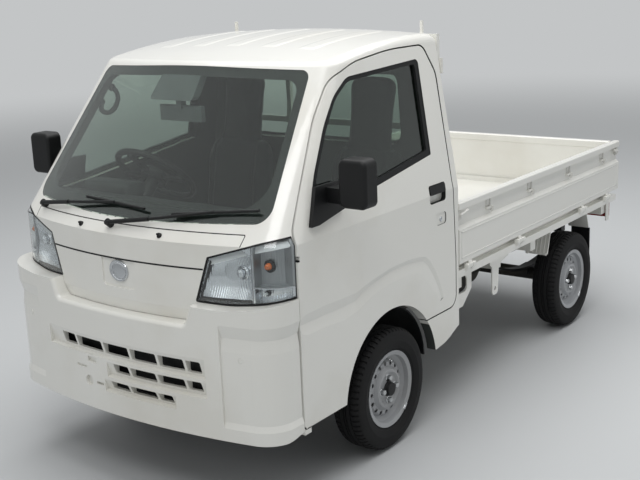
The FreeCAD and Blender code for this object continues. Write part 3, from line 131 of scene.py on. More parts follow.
def enamel(name, colour, soiled, roughness, coat, trim=None):
    """Sprayed enamel with faint dust, a peel of about 4 mm and a clear coat, lined with trim in the cab."""
    surface = new_material(name)
    place, share, tint = clean_and_soiled(surface, colour, soiled, 0.55, 0.5, 0.8)
    dull = ranged(surface, share, roughness, roughness + DUST_ROUGHNESS)
    if trim:
        facing = add(surface, "ShaderNodeTexCoord").outputs["Normal"]
        way = add(surface, "ShaderNodeVectorMath", {0: place, 1: CABIN_MIDDLE}, operation="SUBTRACT")
        turned = add(
            surface,
            "ShaderNodeVectorMath",
            {0: way.outputs["Vector"], 1: facing},
            operation="DOT_PRODUCT",
        )
        lined = add(surface, "ShaderNodeMath", {0: turned.outputs["Value"], 1: 0.0}, operation="LESS_THAN")
        lined = lined.outputs[0]
        tint = mixed(surface, lined, tint, linear(trim))
        dull = ranged(surface, lined, dull, TRIM_ROUGHNESS)
        coat = ranged(surface, lined, coat, 0.0)
    paint = add(
        surface,
        "ShaderNodeBsdfPrincipled",
        {
            "Base Color": tint,
            "Roughness": dull,
            "IOR": 1.5,
            "Coat Weight": coat,
            "Coat Roughness": 0.04,
            "Normal": relief(surface, place, PEEL_GRAIN, PEEL_HEIGHT),
        },
    )
    return close_material(surface, paint)


def dress(surface, *names):
    """Gives CAD nodes their finish."""
    for name in names:
        for slot in parts[name].material_slots:
            slot.material = surface


WHITE = ("#EBEAE4", "#DDDAD0", 0.3, 0.8)
white_enamel = enamel("white_enamel", *WHITE)
dress(white_enamel, "cowl_panel", "front_garnish", "front_bumper", "gate_left", "gate_right", "tailgate")
dress(white_enamel, "bed_headboard", "bed_brackets", "rear_wheel_arches", "bed_floor", "guard_frame")
dress(enamel("white_enamel_grey_lined", *WHITE, "#363936"), "cab_frame", "back_panel")
dress(enamel("white_enamel_dark_lined", *WHITE, "#1A1C1B"), "door_left", "door_right")
dress(enamel("white_enamel_pale_lined", *WHITE, "#6E706B"), "roof_panel")

# Black plastic mouldings: grained polypropylene liners, mirror housings, mudflaps and the steering
# wheel. The moulded grain scatters light, so they look dark grey where a lamp grazes them.


def moulded(name, colour, worn, roughness, grain, height):
    """A moulded or cast skin: a grain of a size and height in metres, worn in soft patches."""
    surface = new_material(name)
    place, _, tint = clean_and_soiled(surface, colour, worn, 0.12, 0.45, 0.85)
    plastic = add(
        surface,
        "ShaderNodeBsdfPrincipled",
        {
            "Base Color": tint,
            "Roughness": roughness,
            "IOR": 1.4,
            "Normal": relief(surface, place, grain, height),
        },
    )
    return close_material(surface, plastic)


black_plastic = moulded("grained_polypropylene", "#0B0C0D", "#121314", 0.5, 0.0012, 0.00012)
dress(black_plastic, "grille_backing", "arch_liners", "mudflaps", "mirror_left", "mirror_right")
dress(black_plastic, "handle_left", "handle_right", "steering_wheel", "steering_column", "wipers")
dash_plastic = moulded("dash_plastic", "#212324", "#2A2C2C", 0.6, 0.0015, 0.00015)
dress(dash_plastic, "dashboard")
dress(moulded("ribbed_floor_mat", "#2E2F30", "#3B3A38", 0.8, 0.002, 0.0003), "cab_floor")
dress(moulded("mirror_bracket_plastic", "#55585A", "#5E6062", 0.55, 0.0012, 0.0001), "cabin_mirror")

# Windscreen: laminated glass with a faint green cast, bonded into the cab. A black ceramic border is
# fired on its inner face, wider at the foot, and hides the bead of glue. The other glass is darker.
# The outlines are (x, z, corner radius) in millimetres. Rays that find a skin start at AHEAD on Y.

STATION_ZERO = sum(corner.y for corner in map(Vector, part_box("tyre_front_left"))) / 2
SCREEN = [
    (-640, 1124, 50),
    (0, 1104, 6000),
    (640, 1124, 50),
    (560, 1641, 42),
    (0, 1658, 6000),
    (-560, 1641, 42),
]
SCREEN_INNER = [
    (-599, 1166, 96),
    (0, 1150, 6000),
    (599, 1166, 96),
    (530, 1604, 60),
    (0, 1619, 6000),
    (-530, 1604, 60),
]
BORDER_DEPTH = 0.0056
BORDER_THICK = 0.0012
SCREEN_NORMAL_Y = 0.777
WELD = 0.00002
ROUND_STEPS = 8
AHEAD = -3
REARWARD = Vector((0, 1, 0))
DOWN = Vector((0, 0, -1))


def at(x, station, z):
    """A place in metres from millimetres, where a station is a distance behind the front axle."""
    return Vector((x / 1000, STATION_ZERO + station / 1000, z / 1000))


def window_glass(name, tint, index=1.5):
    """Glass that bends light, and lets a lamp's light through as a tinted sheet does."""
    surface = new_material(name)
    glass = add(
        surface,
        "ShaderNodeBsdfPrincipled",
        {
            "Base Color": linear(tint),
            "Roughness": 0.0,
            "IOR": index,
            "Transmission Weight": 1.0,
        },
    )
    passing = add(surface, "ShaderNodeBsdfTransparent", {"Color": linear(tint)})
    ray = add(surface, "ShaderNodeLightPath")
    seen = add(
        surface,
        "ShaderNodeMixShader",
        {0: ray.outputs["Is Shadow Ray"], 1: glass.outputs[0], 2: passing.outputs[0]},
    )
    return close_material(surface, seen)


def rounded_face(form, corners):
    """A flat face through (u, v, radius) corners in millimetres, each rounded off, on the XY plane."""
    face = form.faces.new([form.verts.new((u / 1000, v / 1000, 0)) for u, v, _ in corners])
    flat = [Vector((u, v)) for u, v, _ in corners]
    chosen = list(face.verts)
    for index, (_, _, radius) in enumerate(corners):
        if radius <= 0:
            continue
        before = flat[index - 1] - flat[index]
        after = flat[(index + 1) % len(flat)] - flat[index]
        run = radius / 1000 / math.tan(before.angle(after) / 2)
        bmesh.ops.bevel(
            form,
            geom=[chosen[index]],
            offset=run,
            offset_type="OFFSET",
            segments=ROUND_STEPS,
            profile=0.5,
            affect="VERTICES",
            material=-1,
        )


def ring_between(outer, inner):
    """A flat ring between two rounded outlines that have the same number of corners."""
    form = bmesh.new()
    for corners in (outer, inner):
        rounded_face(form, corners)
    bmesh.ops.delete(form, geom=form.faces[:], context="FACES_ONLY")
    bmesh.ops.bridge_loops(form, edges=form.edges[:])
    return form


def cut(form, way, place, **clearing):
    """Cuts a form across a direction at a distance from the origin, and may clear one side."""
    bmesh.ops.bisect_plane(
        form,
        geom=form.verts[:] + form.edges[:] + form.faces[:],
        plane_co=Vector(way) * place,
        plane_no=way,
        **clearing,
    )


def sliced(form, way, places):
    """Cuts a form many times so that it can follow a curved surface."""
    for place in places:
        cut(form, way, place)


def publish(name, form, surface, body, crease=35):
    """Makes a finished form a piece that rides on a body."""
    bmesh.ops.remove_doubles(form, verts=form.verts, dist=WELD)
    bmesh.ops.recalc_face_normals(form, faces=form.faces)
    mesh = bpy.data.meshes.new(name)
    form.to_mesh(mesh)
    form.free()
    mesh.shade_smooth()
    mesh.set_sharp_from_angle(angle=math.radians(crease))
    mesh.materials.append(surface)
    made = bpy.data.objects.new(name, mesh)
    bpy.context.scene.collection.objects.link(made)
    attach(made, body)
    return made


def surface_of(name):
    """The skin of a CAD node, to lay other pieces on."""
    return BVHTree.FromObject(parts[name], bpy.context.evaluated_depsgraph_get())


dress(window_glass("laminated_safety_glass", "#DDE6E0", 1.6), "windshield")
tinted_glass = window_glass("tinted_safety_glass", "#AEBDB4")
dress(tinted_glass, "door_glass_left", "door_glass_right", "rear_window")
fired_black = moulded("fired_ceramic_black", "#1E2021", "#232526", 0.35, 0.001, 0.00001)
border_outer = [(x * 0.9975, z + (1.5 if z < 1300 else -1.5), radius) for x, z, radius in SCREEN]
border = ring_between(border_outer, SCREEN_INNER)
sliced(border, (1, 0, 0), [step / 20 for step in range(-12, 13)])
sliced(border, (0, 1, 0), [1.2 + step / 20 for step in range(9)])
screen_skin = surface_of("windshield")
for corner in border.verts:
    x, z = corner.co.x, corner.co.y
    hit = screen_skin.ray_cast(Vector((x, AHEAD, z)), REARWARD)[0]
    corner.co = Vector((x, hit.y + BORDER_DEPTH / SCREEN_NORMAL_Y, z))
bmesh.ops.solidify(border, geom=border.faces[:], thickness=BORDER_THICK)
publish("windscreen_border", border, fired_black, "chassis")

# Door glass seals: a black rubber channel runs round each door's window and the glass slides in it.
# Its lip stands a little proud of the paint, and the belt weatherstrip at the foot is broader.
# The outlines are (station, z, corner radius) in millimetres.

DOOR_WINDOW = [
    (-545, 1112, 12),
    (-474, 1262, 500),
    (-351, 1443, 500),
    (-262, 1545, 200),
    (-160, 1606, 110),
    (380, 1631, 22),
    (365, 1222, 12),
    (-330, 1130, 200),
]
DOOR_WINDOW_INNER = [
    (-505, 1140, 12),
    (-456, 1257, 500),
    (-337, 1433, 480),
    (-251, 1531, 180),
    (-154, 1588, 92),
    (352, 1611, 16),
    (339, 1244, 10),
    (-330, 1155, 180),
]
SEAL_DEPTH = 0.012
SEAL_PROUD = 0.0022
TUMBLEHOME = 0.17
BELT_Z = 1.05
seal_rubber = moulded("sponge_rubber_seal", "#0F1011", "#17181A", 0.6, 0.0015, 0.0001)


def side_x(z):
    """How far out the door's skin stands at a height in metres."""
    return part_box("door_left")[1][0] - TUMBLEHOME * max(z - BELT_Z, 0)


def both_bodies(name, make, surface, left_body):
    """The same piece on the left and, mirrored, on the right."""
    for side, sign in (("left", 1), ("right", -1)):
        form = make()
        bmesh.ops.scale(form, vec=(sign, 1, 1), verts=form.verts)
        publish(name + "_" + side, form, surface, left_body.replace("left", side))


def door_seal():
    """The ring between both outlines, laid on the door's skin and made SEAL_DEPTH deep."""
    form = ring_between(DOOR_WINDOW, DOOR_WINDOW_INNER)
    for corner in form.verts:
        station, z = corner.co.x, corner.co.y
        corner.co = Vector((side_x(z) - SEAL_PROUD, STATION_ZERO + station, z))
    bmesh.ops.recalc_face_normals(form, faces=form.faces)
    if form.faces[0].normal.x < 0:
        bmesh.ops.reverse_faces(form, faces=form.faces)
    bmesh.ops.solidify(form, geom=form.faces[:], thickness=SEAL_DEPTH)
    return form


both_bodies("door_glass_seal", door_seal, seal_rubber, "door_left")

# Headlamps: a clear polycarbonate lens in a black rubber gasket, over a housing whose bowls are vacuum
# metallised. A lathed reflector, a bezel along the foot and a silver trim along the top are laid behind
# the lens; the trim is a pale non-metal whose brightness is a painted reflection. The turn bowl beside
# them is satin, with an amber bulb over a small position bulb.

FLUTE_PITCH = 0.008
FLUTE_HEIGHT = 0.0008
TURN_BOWL_X = 0.606
LAMP_SHELF_Z = 0.897


def metallised(name, colour, satin=None):
    """A bright fluted metal skin. Past the lamp's divider it is rougher, and satin where a tint is given."""
    surface = new_material(name)
    place = add(surface, "ShaderNodeTexCoord").outputs["Object"]
    axes = add(surface, "ShaderNodeSeparateXYZ", {"Vector": place})
    out = add(surface, "ShaderNodeMath", {0: axes.outputs["X"]}, operation="ABSOLUTE").outputs[0]
    beside = add(surface, "ShaderNodeMath", {0: out, 1: TURN_BOWL_X}, operation="GREATER_THAN")
    above = add(surface, "ShaderNodeMath", {0: axes.outputs["Z"], 1: LAMP_SHELF_Z}, operation="GREATER_THAN")
    grey = add(
        surface,
        "ShaderNodeMath",
        {0: beside.outputs[0], 1: above.outputs[0]},
        operation="MULTIPLY",
    ).outputs[0]
    flutes = add(
        surface,
        "ShaderNodeTexWave",
        {"Vector": place, "Scale": 2 * math.pi / (20 * FLUTE_PITCH)},
        bands_direction="X",
    )
    bump = add(
        surface,
        "ShaderNodeBump",
        {"Height": flutes.outputs["Fac"], "Distance": FLUTE_HEIGHT, "Strength": 1.0},
    )
    tint = mixed(surface, grey, linear(colour), linear(satin)) if satin else linear(colour)
    mirror = add(
        surface,
        "ShaderNodeBsdfPrincipled",
        {
            "Base Color": tint,
            "Metallic": 1.0,
            "Roughness": ranged(surface, grey, 0.14, 0.42),
            "Normal": bump.outputs["Normal"],
        },
    )
    return close_material(surface, mirror)


def join(form, part, place=Matrix()):
    """Adds a part to a form at a place."""
    part.transform(place)
    held = bpy.data.meshes.new("held")
    part.to_mesh(held)
    part.free()
    form.from_mesh(held)
    bpy.data.meshes.remove(held)


def lathe(form, profile, centre, way, steps=32):
    """Spins (radius, height) points in millimetres about an axis through the centre."""
    part = bmesh.new()
    dots = [part.verts.new((radius / 1000, 0, height / 1000)) for radius, height in profile]
    lines = [part.edges.new(pair) for pair in zip(dots, dots[1:])]
    bmesh.ops.spin(
        part,
        geom=dots + lines,
        cent=(0, 0, 0),
        axis=(0, 0, 1),
        angle=2 * math.pi,
        steps=steps,
        use_merge=True,
    )
    bmesh.ops.remove_doubles(part, verts=part.verts, dist=WELD)
    aim = Vector(way).to_track_quat("Z", "Y").to_matrix().to_4x4()
    join(form, part, Matrix.Translation(centre) @ aim)


def mesh_now(holder):
    """An object's mesh as it looks now, with its modifiers or its bevel applied."""
    graph = bpy.context.evaluated_depsgraph_get()
    return bpy.data.meshes.new_from_object(holder.evaluated_get(graph))


def tube(form, places, radius, sides=10):
    """A round bar near the given places, with closed ends. Its radius is in millimetres."""
    path = bpy.data.curves.new("path", "CURVE")
    path.dimensions = "3D"
    path.bevel_depth = radius / 1000
    path.bevel_resolution = sides // 4
    path.resolution_u = 8
    path.use_fill_caps = True
    line = path.splines.new("NURBS")
    line.points.add(len(places) - 1)
    for point, place in zip(line.points, places):
        point.co = (*place, 1)
    line.order_u = 3
    line.use_endpoint_u = True
    holder = bpy.data.objects.new("path", path)
    bpy.context.scene.collection.objects.link(holder)
    shape = mesh_now(holder)
    form.from_mesh(shape)
    bpy.data.objects.remove(holder)
    bpy.data.curves.remove(path)
    bpy.data.meshes.remove(shape)


def soften(form, edges, offset):
    """Rounds edges off by an offset in metres."""
    bmesh.ops.bevel(
        form,
        geom=edges,
        offset=offset,
        offset_type="OFFSET",
        segments=3,
        profile=0.5,
        affect="EDGES",
        material=-1,
    )


def block(form, low, high, soft, place=Matrix()):
    """A box between two corners in metres with its edges rounded off by millimetres."""
    part = bmesh.new()
    bmesh.ops.create_cube(part, size=1)
    low, high = Vector(low), Vector(high)
    bmesh.ops.scale(part, vec=high - low, verts=part.verts)
    bmesh.ops.translate(part, vec=(low + high) / 2, verts=part.verts)
    soften(part, part.edges[:], soft / 1000)
    join(form, part, place)


def both_in_one(name, form, surface, body):
    """A left form and its mirror image as one piece."""
    bmesh.ops.mirror(
        form,
        geom=form.verts[:] + form.edges[:] + form.faces[:],
        merge_dist=0.00001,
        axis="X",
    )
    return publish(name, form, surface, body)


dress(window_glass("clear_polycarbonate", "#F4F7F7"), "headlamp_lenses")
dress(seal_rubber, "headlamp_gaskets")
dress(metallised("vacuum_aluminium", "#D4D7DA", "#A9ACAE"), "headlamp_bodies")
FORWARD = (0, -1, 0)
BOWL_X, BOWL_Z = 547, 944
BOWL_DEPTH = 45
BOWL_FOCUS = 85
BOWL_EDGES = (
    ((-0.947, 0, 0.321), -0.0985),
    ((1, 0, 0), 0.598),
    ((0.045, 0, -0.999), -0.8196),
    ((-0.29, 0, 0.957), 0.827),
)
RIM_DEPTH = 0.010
TURN_X, TURN_Z = 648, 974
POSITION_X, POSITION_Z = 640, 872
lamp_skins = [surface_of(name) for name in ("headlamp_lenses", "headlamp_gaskets", "headlamp_bodies")]


def behind_lens(x, z, depth):
    """A place in a lamp, at a depth behind its lens, all in millimetres."""
    hits = [skin.ray_cast(at(x, -1200, z), REARWARD)[0] for skin in lamp_skins]
    return next(hit for hit in hits if hit) + Vector((0, depth / 1000, 0))


def behind_outline(corners, depths, thick):
    """A thin part that follows the lens at a depth, which may differ from its foot to its top."""
    form = bmesh.new()
    rounded_face(form, corners)
    sliced(form, (1, 0, 0), [x / 1000 for x in range(390, 730, 15)])
    low = min(corner.co.y for corner in form.verts)
    tall = max(corner.co.y for corner in form.verts) - low
    for corner in form.verts:
        x, z = corner.co.x, corner.co.y
        share = (z - low) / tall
        depth = depths[0] + (depths[1] - depths[0]) * share
        corner.co = behind_lens(1000 * x, 1000 * z, depth)
    bmesh.ops.solidify(form, geom=form.faces[:], thickness=thick / 1000)
    return form


aluminium = metallised("bright_vacuum_aluminium", "#DDE0E3")
bowl = bmesh.new()
parabola = [(radius, radius * radius / (4 * BOWL_FOCUS)) for radius in range(18, 200, 14)]
lathe(bowl, parabola, behind_lens(BOWL_X, BOWL_Z, BOWL_DEPTH), FORWARD, 60)
for way, place in BOWL_EDGES:
    cut(bowl, way, place, clear_outer=True)
for corner in bowl.verts:
    hit = lamp_skins[0].ray_cast(Vector((corner.co.x, AHEAD, corner.co.z)), REARWARD)[0]
    if hit:
        corner.co.y = max(corner.co.y, hit.y + RIM_DEPTH)
both_in_one("headlamp_reflectors", bowl, aluminium, "chassis")
bezel = behind_outline(
    [(388, 840, 4), (598, 842, 4), (598, 849, 4), (398, 849, 4), (447, 990, 4), (439, 992, 4)],
    (9, 9),
    3,
)
both_in_one("headlamp_bezels", bezel, black_plastic, "chassis")
trim = behind_outline(
    [
        (441, 976, 3),
        (600, 1024, 300),
        (716, 1048, 3),
        (716, 1068, 3),
        (640, 1056, 500),
        (438, 997, 3),
    ],
    (10, 26),
    2,
)
# Painted reflection: the top trim is a pale grey-white non-metal, bright under the lamps, in place of the
# white that a silver trim mirrors from above.
trim_painted_reflection = moulded("lamp_trim_painted_reflection", "#DDDFE0", "#D2D4D5", 0.3, 0.004, 0.00001)
both_in_one("headlamp_top_trims", trim, trim_painted_reflection, "chassis")
shield = bmesh.new()
bulb_seat = behind_lens(BOWL_X, BOWL_Z, 42)
hood_profile = [(0, 26), (9, 25), (15, 21), (16, 12), (16, 2), (19, 0), (19, -3)]
lathe(shield, hood_profile, bulb_seat, FORWARD)
lathe(shield, [(24, -3), (27, 0), (27, 3), (24, 5), (21, 2)], bulb_seat, FORWARD)
both_in_one("headlamp_bulb_shields", shield, aluminium, "chassis")
collar = bmesh.new()
turn_seat = behind_lens(TURN_X, TURN_Z, 42)
position_seat = behind_lens(POSITION_X, POSITION_Z, 36)
lathe(collar, [(24, -4), (24, 5), (20, 8), (15, 8), (15, -4)], turn_seat, FORWARD)
lathe(collar, [(11, -4), (11, 5), (8, 7), (6, 7), (6, -4)], position_seat, FORWARD, 20)
both_in_one("lamp_bulb_collars", collar, black_plastic, "chassis")


def bulb_glass(name, colour):
    """Blown bulb glass, tinted all through and smooth enough to glint."""
    surface = new_material(name)
    bulb = add(
        surface,
        "ShaderNodeBsdfPrincipled",
        {"Base Color": linear(colour), "Roughness": 0.08, "IOR": 1.5, "Coat Weight": 0.6},
    )
    return close_material(surface, bulb)


amber_glass = bulb_glass("amber_bulb_glass", "#C8641A")
amber = bmesh.new()
lathe(amber, [(0, 26), (7, 24), (12, 17), (14, 8), (12, 0), (9, -6)], turn_seat, FORWARD)
both_in_one("turn_bulbs", amber, amber_glass, "chassis")
clear_glass = bulb_glass("clear_bulb_glass", "#D8DCDD")
clear = bmesh.new()
lathe(clear, [(0, 18), (4, 16), (6, 10), (5, 0)], position_seat, FORWARD, 20)
both_in_one("position_bulbs", clear, clear_glass, "chassis")

# Nose fittings: a plain bright disc fills the garnish's round place, two black washer nozzles stand on
# the cowl, and a sensor of painted plastic is set in each bumper corner. Each door has a bright lock.

DISC_STATION, DISC_Z = -829.2, 905
DISC_FLATTENING = 0.86
DISC_PROFILE = [
    (0, 5.0),
    (30, 5.0),
    (36, 4.4),
    (38, 3.4),
    (40, 4.8),
    (45, 6.6),
    (49, 6.2),
    (51, 3.6),
    (51, -1),
    (0, -1),
]
SENSOR_PROFILE = [(11, -2), (11, 1.2), (9.6, 1.6), (9.2, 0.2), (8.8, 1.4), (0, 1.8)]
LOCK_PROFILE = [(0, 1.4), (7.5, 1.4), (8.5, 3.0), (10, 3.2), (11, 2.0), (11, -0.5)]
LOCK_STATION, LOCK_Z = 399, 932
chrome = metallised("bright_chrome", "#C6C9CC")
disc = bmesh.new()
disc_place = at(0, DISC_STATION, DISC_Z)
lathe(disc, DISC_PROFILE, disc_place, FORWARD, 64)
bmesh.ops.scale(
    disc,
    vec=(1, 1, DISC_FLATTENING),
    space=Matrix.Translation(-disc_place),
    verts=disc.verts,
)
publish("nose_disc", disc, chrome, "chassis")
cowl_skin = surface_of("cowl_panel")
nozzles = bmesh.new()
nozzle_foot = cowl_skin.ray_cast(at(218, -880, 1066), REARWARD)[0]
lathe(nozzles, [(11, -2), (11, 2), (9, 5), (5, 8), (0, 9)], nozzle_foot, (0, -0.6, 0.8), 20)
block(
    nozzles,
    nozzle_foot + Vector((-0.005, -0.013, 0.004)),
    nozzle_foot + Vector((0.005, 0.0, 0.012)),
    2,
)
both_in_one("washer_nozzles", nozzles, black_plastic, "chassis")
bumper_skin = surface_of("front_bumper")
sensors = bmesh.new()
sensor_foot = bumper_skin.ray_cast(at(590, -1100, 636), REARWARD)[0]
lathe(sensors, SENSOR_PROFILE, sensor_foot, (0.34, -0.94, 0), 28)
both_in_one("bumper_sensors", sensors, white_enamel, "chassis")
for side, sign in (("left", 1), ("right", -1)):
    barrel = bmesh.new()
    lathe(barrel, LOCK_PROFILE, at(sign * 733.4, LOCK_STATION, LOCK_Z), (sign, 0, 0), 28)
    block(
        barrel,
        at(sign * 734.0 - 0.8, LOCK_STATION - 1, LOCK_Z - 7),
        at(sign * 734.0 + 0.8, LOCK_STATION + 1, LOCK_Z + 7),
        0.3,
    )
    publish("door_lock_" + side, barrel, chrome, "door_" + side)

# Road wheels: pressed steel discs in silver enamel with vents, four bright nuts and a black centre cap,
# and radial tyres of matte black rubber, spun from a section with grooves between its ribs and pressed
# with grooves across the shoulders. TYRE_HALF is (radius, x) in millimetres, from the bead to the tread.

silver_enamel = enamel("silver_enamel", "#A3A5A8", "#8F8F8E", 0.35, 0.3)
tyre_rubber = moulded("tyre_rubber", "#0E0E0F", "#171615", 0.78, 0.0015, 0.0001)
zinc = metallised("bright_zinc", "#BFC1C2")
CORNERS = ("front_left", "front_right", "rear_left", "rear_right")
NUT_COUNT = 4
NUT_CIRCLE = 0.05
NUT_FACE = 0.044
NUT_COLLAR = [(17, 0), (17, 1.5), (13, 3.0), (12.2, 3.2)]
NUT_PROFILE = [(13.0, 2), (12.6, 16), (10.4, 18.2), (0, 18.8)]
CAP_FACE = 0.04
CAP_PROFILE = [(33, 4), (33, 9), (30, 12), (29.6, 20), (28, 24.6), (22, 25.4), (0, 25.8)]
VALVE_PLACE = (0.052, 0.0, 0.134)
VALVE_RADIUS = 3.4
WEIGHT_PLACE = (0.0575, 0.112, -0.118)
WEIGHT_TURN = 0.81
TREAD_STEPS = 192
GROOVE_EVERY = 3
GROOVE_INSET = 0.0016
GROOVE_DEPTH = 0.0045
SHOULDER_REACH = 0.2555
SHOULDER_X = (0.032, 0.0625)
TYRE_HALF = [
    (153.2, 38.7),
    (153.2, 50.7),
    (168.0, 54.2),
    (173.0, 58.5),
    (178.0, 60.5),
    (180.0, 63.8),
    (192.0, 68.6),
    (206.0, 71.6),
    (208.5, 72.3),
    (211.0, 72.3),
    (213.5, 71.7),
    (226.0, 71.4),
    (238.0, 69.8),
    (247.0, 67.4),
    (253.5, 64.0),
    (259.0, 59.0),
    (263.2, 51.5),
    (265.4, 44.0),
    (265.9, 31.0),
    (260.2, 29.6),
    (260.2, 26.6),
    (266.2, 25.2),
    (266.8, 8.4),
    (260.4, 7.0),
    (260.4, 3.8),
    (266.9, 2.4),
]


def tyre_form():
    """The tyre round the X axis: its section is spun, then the shoulders' grooves are pressed in."""
    form = bmesh.new()
    whole = TYRE_HALF + [(radius, -x) for radius, x in reversed(TYRE_HALF)]
    dots = [form.verts.new((x / 1000, 0, -radius / 1000)) for radius, x in whole]
    lines = [form.edges.new(pair) for pair in zip(dots, dots[1:] + dots[:1])]
    bmesh.ops.spin(
        form,
        geom=dots + lines,
        cent=(0, 0, 0),
        axis=(1, 0, 0),
        angle=2 * math.pi,
        steps=TREAD_STEPS,
        use_merge=True,
    )
    bmesh.ops.recalc_face_normals(form, faces=form.faces)
    step = 2 * math.pi / TREAD_STEPS
    grooved = []
    for face in form.faces:
        middle = face.calc_center_median()
        reach = math.hypot(middle.y, middle.z)
        turn = math.atan2(middle.z, middle.y) % (2 * math.pi)
        on_shoulder = SHOULDER_REACH < reach and SHOULDER_X[0] < abs(middle.x) < SHOULDER_X[1]
        if on_shoulder and int(turn / step) % GROOVE_EVERY == 0:
            grooved.append(face)
    bmesh.ops.inset_region(
        form,
        faces=grooved,
        thickness=GROOVE_INSET,
        depth=-GROOVE_DEPTH,
        use_even_offset=True,
    )
    return form


def outward(sign, place):
    """A place on a wheel (out, rearwards, up), mirrored for the right side."""
    return Vector((sign * place[0], place[1], place[2]))


for corner in CORNERS:
    body = "wheel_" + corner
    rubber = tyre_form()
    low, high = (Vector(end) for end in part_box("tyre_" + corner))
    hub = (low + high) / 2
    bmesh.ops.translate(rubber, vec=hub, verts=rubber.verts)
    cover = publish("tyre_tread_" + corner, rubber, tyre_rubber, body, 28)
    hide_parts("tyre_" + corner)
    dress(silver_enamel, "rim_" + corner)
    dress(tyre_rubber, "tyre_" + corner)
    sign = 1 if hub.x > 0 else -1
    out = Vector((sign, 0, 0))
    nuts = bmesh.new()
    for turn in range(NUT_COUNT):
        angle = turn * math.pi / 2
        place = (NUT_FACE, NUT_CIRCLE * math.cos(angle), NUT_CIRCLE * math.sin(angle))
        seat = hub + outward(sign, place)
        lathe(nuts, NUT_COLLAR, seat, out, 18)
        lathe(nuts, NUT_PROFILE, seat, out, 6)
    publish("wheel_nuts_" + corner, nuts, zinc, body)
    cap = bmesh.new()
    lathe(cap, CAP_PROFILE, hub + out * CAP_FACE, out, 40)
    publish("centre_cap_" + corner, cap, black_plastic, body)
    valve = bmesh.new()
    stem = hub + outward(sign, VALVE_PLACE)
    tube(valve, [stem - out * 0.012, stem, stem + outward(sign, (0.014, 0, -0.006))], VALVE_RADIUS)
    weight = Matrix.Translation(hub + outward(sign, WEIGHT_PLACE))
    weight = weight @ Matrix.Rotation(WEIGHT_TURN, 4, "X")
    block(valve, (-0.004, -0.017, -0.006), (0.004, 0.017, 0.006), 2, weight)
    publish("valve_and_weight_" + corner, valve, zinc, body)

# Running gear: pressed steel under a thin satin black chassis paint, with brown dust on it, and castings
# of bare iron. The tail lamps are red acrylic.

chassis_paint = moulded("satin_chassis_black", "#161617", "#2B2825", 0.45, 0.003, 0.00005)
dress(chassis_paint, "chassis_frame", "front_suspension", "front_struts")
dress(chassis_paint, "leaf_springs", "drive_shaft", "fuel_tank")
cast_iron = moulded("sand_cast_iron", "#3A3936", "#4A443C", 0.6, 0.0015, 0.0003)
dress(cast_iron, "knuckle_left", "knuckle_right", "engine_block", "rear_axle", "exhaust")
red_acrylic = moulded("tail_lamp_acrylic", "#8E0F12", "#8A1012", 0.12, 0.004, 0.00001)
dress(red_acrylic, "tail_lamps")

# Seats: woven dark grey cloth over foam, a cushion and a tall back whose narrow top is the headrest. The
# cover swells between its sewn channels. The driver's seat and the passenger's are alike.

SEAT_SLOPE = 0.171
CHANNEL_OUT = 0.126
CHANNEL_DEPTH = 0.007
CHANNEL_HALF = 0.006
HEADREST_SEAM_Z = 1.232
BACK_THICK = 0.078
BACK_ROUND = 0.026
BACK_OUTLINE = [
    (-200, 0, 40),
    (200, 0, 40),
    (212, 330, 90),
    (186, 395, 60),
    (124, 440, 50),
    (110, 745, 48),
    (-110, 745, 48),
    (-124, 440, 50),
    (-186, 395, 60),
    (-212, 330, 90),
]
FOAM_PRESSURE = 4
CLOTH_FRAMES = 20
SWELL_CAP = 0.022
SMOOTHINGS = 6
COVER_VOXEL = 0.007
THREAD_PITCH = 0.004
THREAD_HEIGHT = 0.0001


def woven(name, warp, weft):
    """Cloth of two thread colours. Real threads are 1 mm apart, drawn at 4 mm so that they show."""
    surface = new_material(name)
    place, _, tint = clean_and_soiled(surface, warp, weft, 0.05, 0.3, 0.7)
    scale = 2 * math.pi / (20 * THREAD_PITCH)
    threads = {"Vector": place, "Scale": scale}
    across = add(surface, "ShaderNodeTexWave", threads, bands_direction="X")
    along = add(surface, "ShaderNodeTexWave", threads, bands_direction="Z")
    crossed = add(
        surface,
        "ShaderNodeMath",
        {0: across.outputs["Fac"], 1: along.outputs["Fac"]},
        operation="MULTIPLY",
    )
    bump = add(
        surface,
        "ShaderNodeBump",
        {"Height": crossed.outputs[0], "Distance": THREAD_HEIGHT, "Strength": 1.0},
    )
    cloth = add(
        surface,
        "ShaderNodeBsdfPrincipled",
        {
            "Base Color": mixed(surface, crossed.outputs[0], tint, linear(weft)),
            "Roughness": 0.9,
            "Sheen Weight": 0.25,
            "Sheen Roughness": 0.5,
            "Normal": bump.outputs["Normal"],
        },
    )
    return close_material(surface, cloth)


def swollen(form):
    """Swells a closed shell as foam fills its cover: an even skin, cloth under pressure, a capped move."""
    skin = bpy.data.meshes.new("skin")
    form.to_mesh(skin)
    form.free()
    holder = bpy.data.objects.new("skin", skin)
    bpy.context.scene.collection.objects.link(holder)
    even = holder.modifiers.new("even", "REMESH")
    even.mode = "VOXEL"
    even.voxel_size = COVER_VOXEL
    start = mesh_now(holder)
    holder.modifiers.clear()
    holder.data = start
    shape = start
    cover = holder.modifiers.new("cover", "CLOTH")
    cover.settings.use_pressure = True
    cover.settings.uniform_pressure_force = FOAM_PRESSURE
    cover.settings.effector_weights.gravity = 0
    for step in range(1, CLOTH_FRAMES + 1):
        bpy.context.scene.frame_set(step)
    shape = mesh_now(holder)
    bpy.context.scene.frame_set(1)
    for point, source in zip(shape.vertices, start.vertices):
        move = point.co - source.co
        if move.length > SWELL_CAP:
            point.co = source.co + move.normalized() * SWELL_CAP
    form = bmesh.new()
    form.from_mesh(shape)
    bpy.data.objects.remove(holder)
    for _ in range(SMOOTHINGS):
        bmesh.ops.smooth_vert(
            form,
            verts=form.verts,
            factor=0.5,
            use_axis_x=True,
            use_axis_y=True,
            use_axis_z=True,
        )
    return form


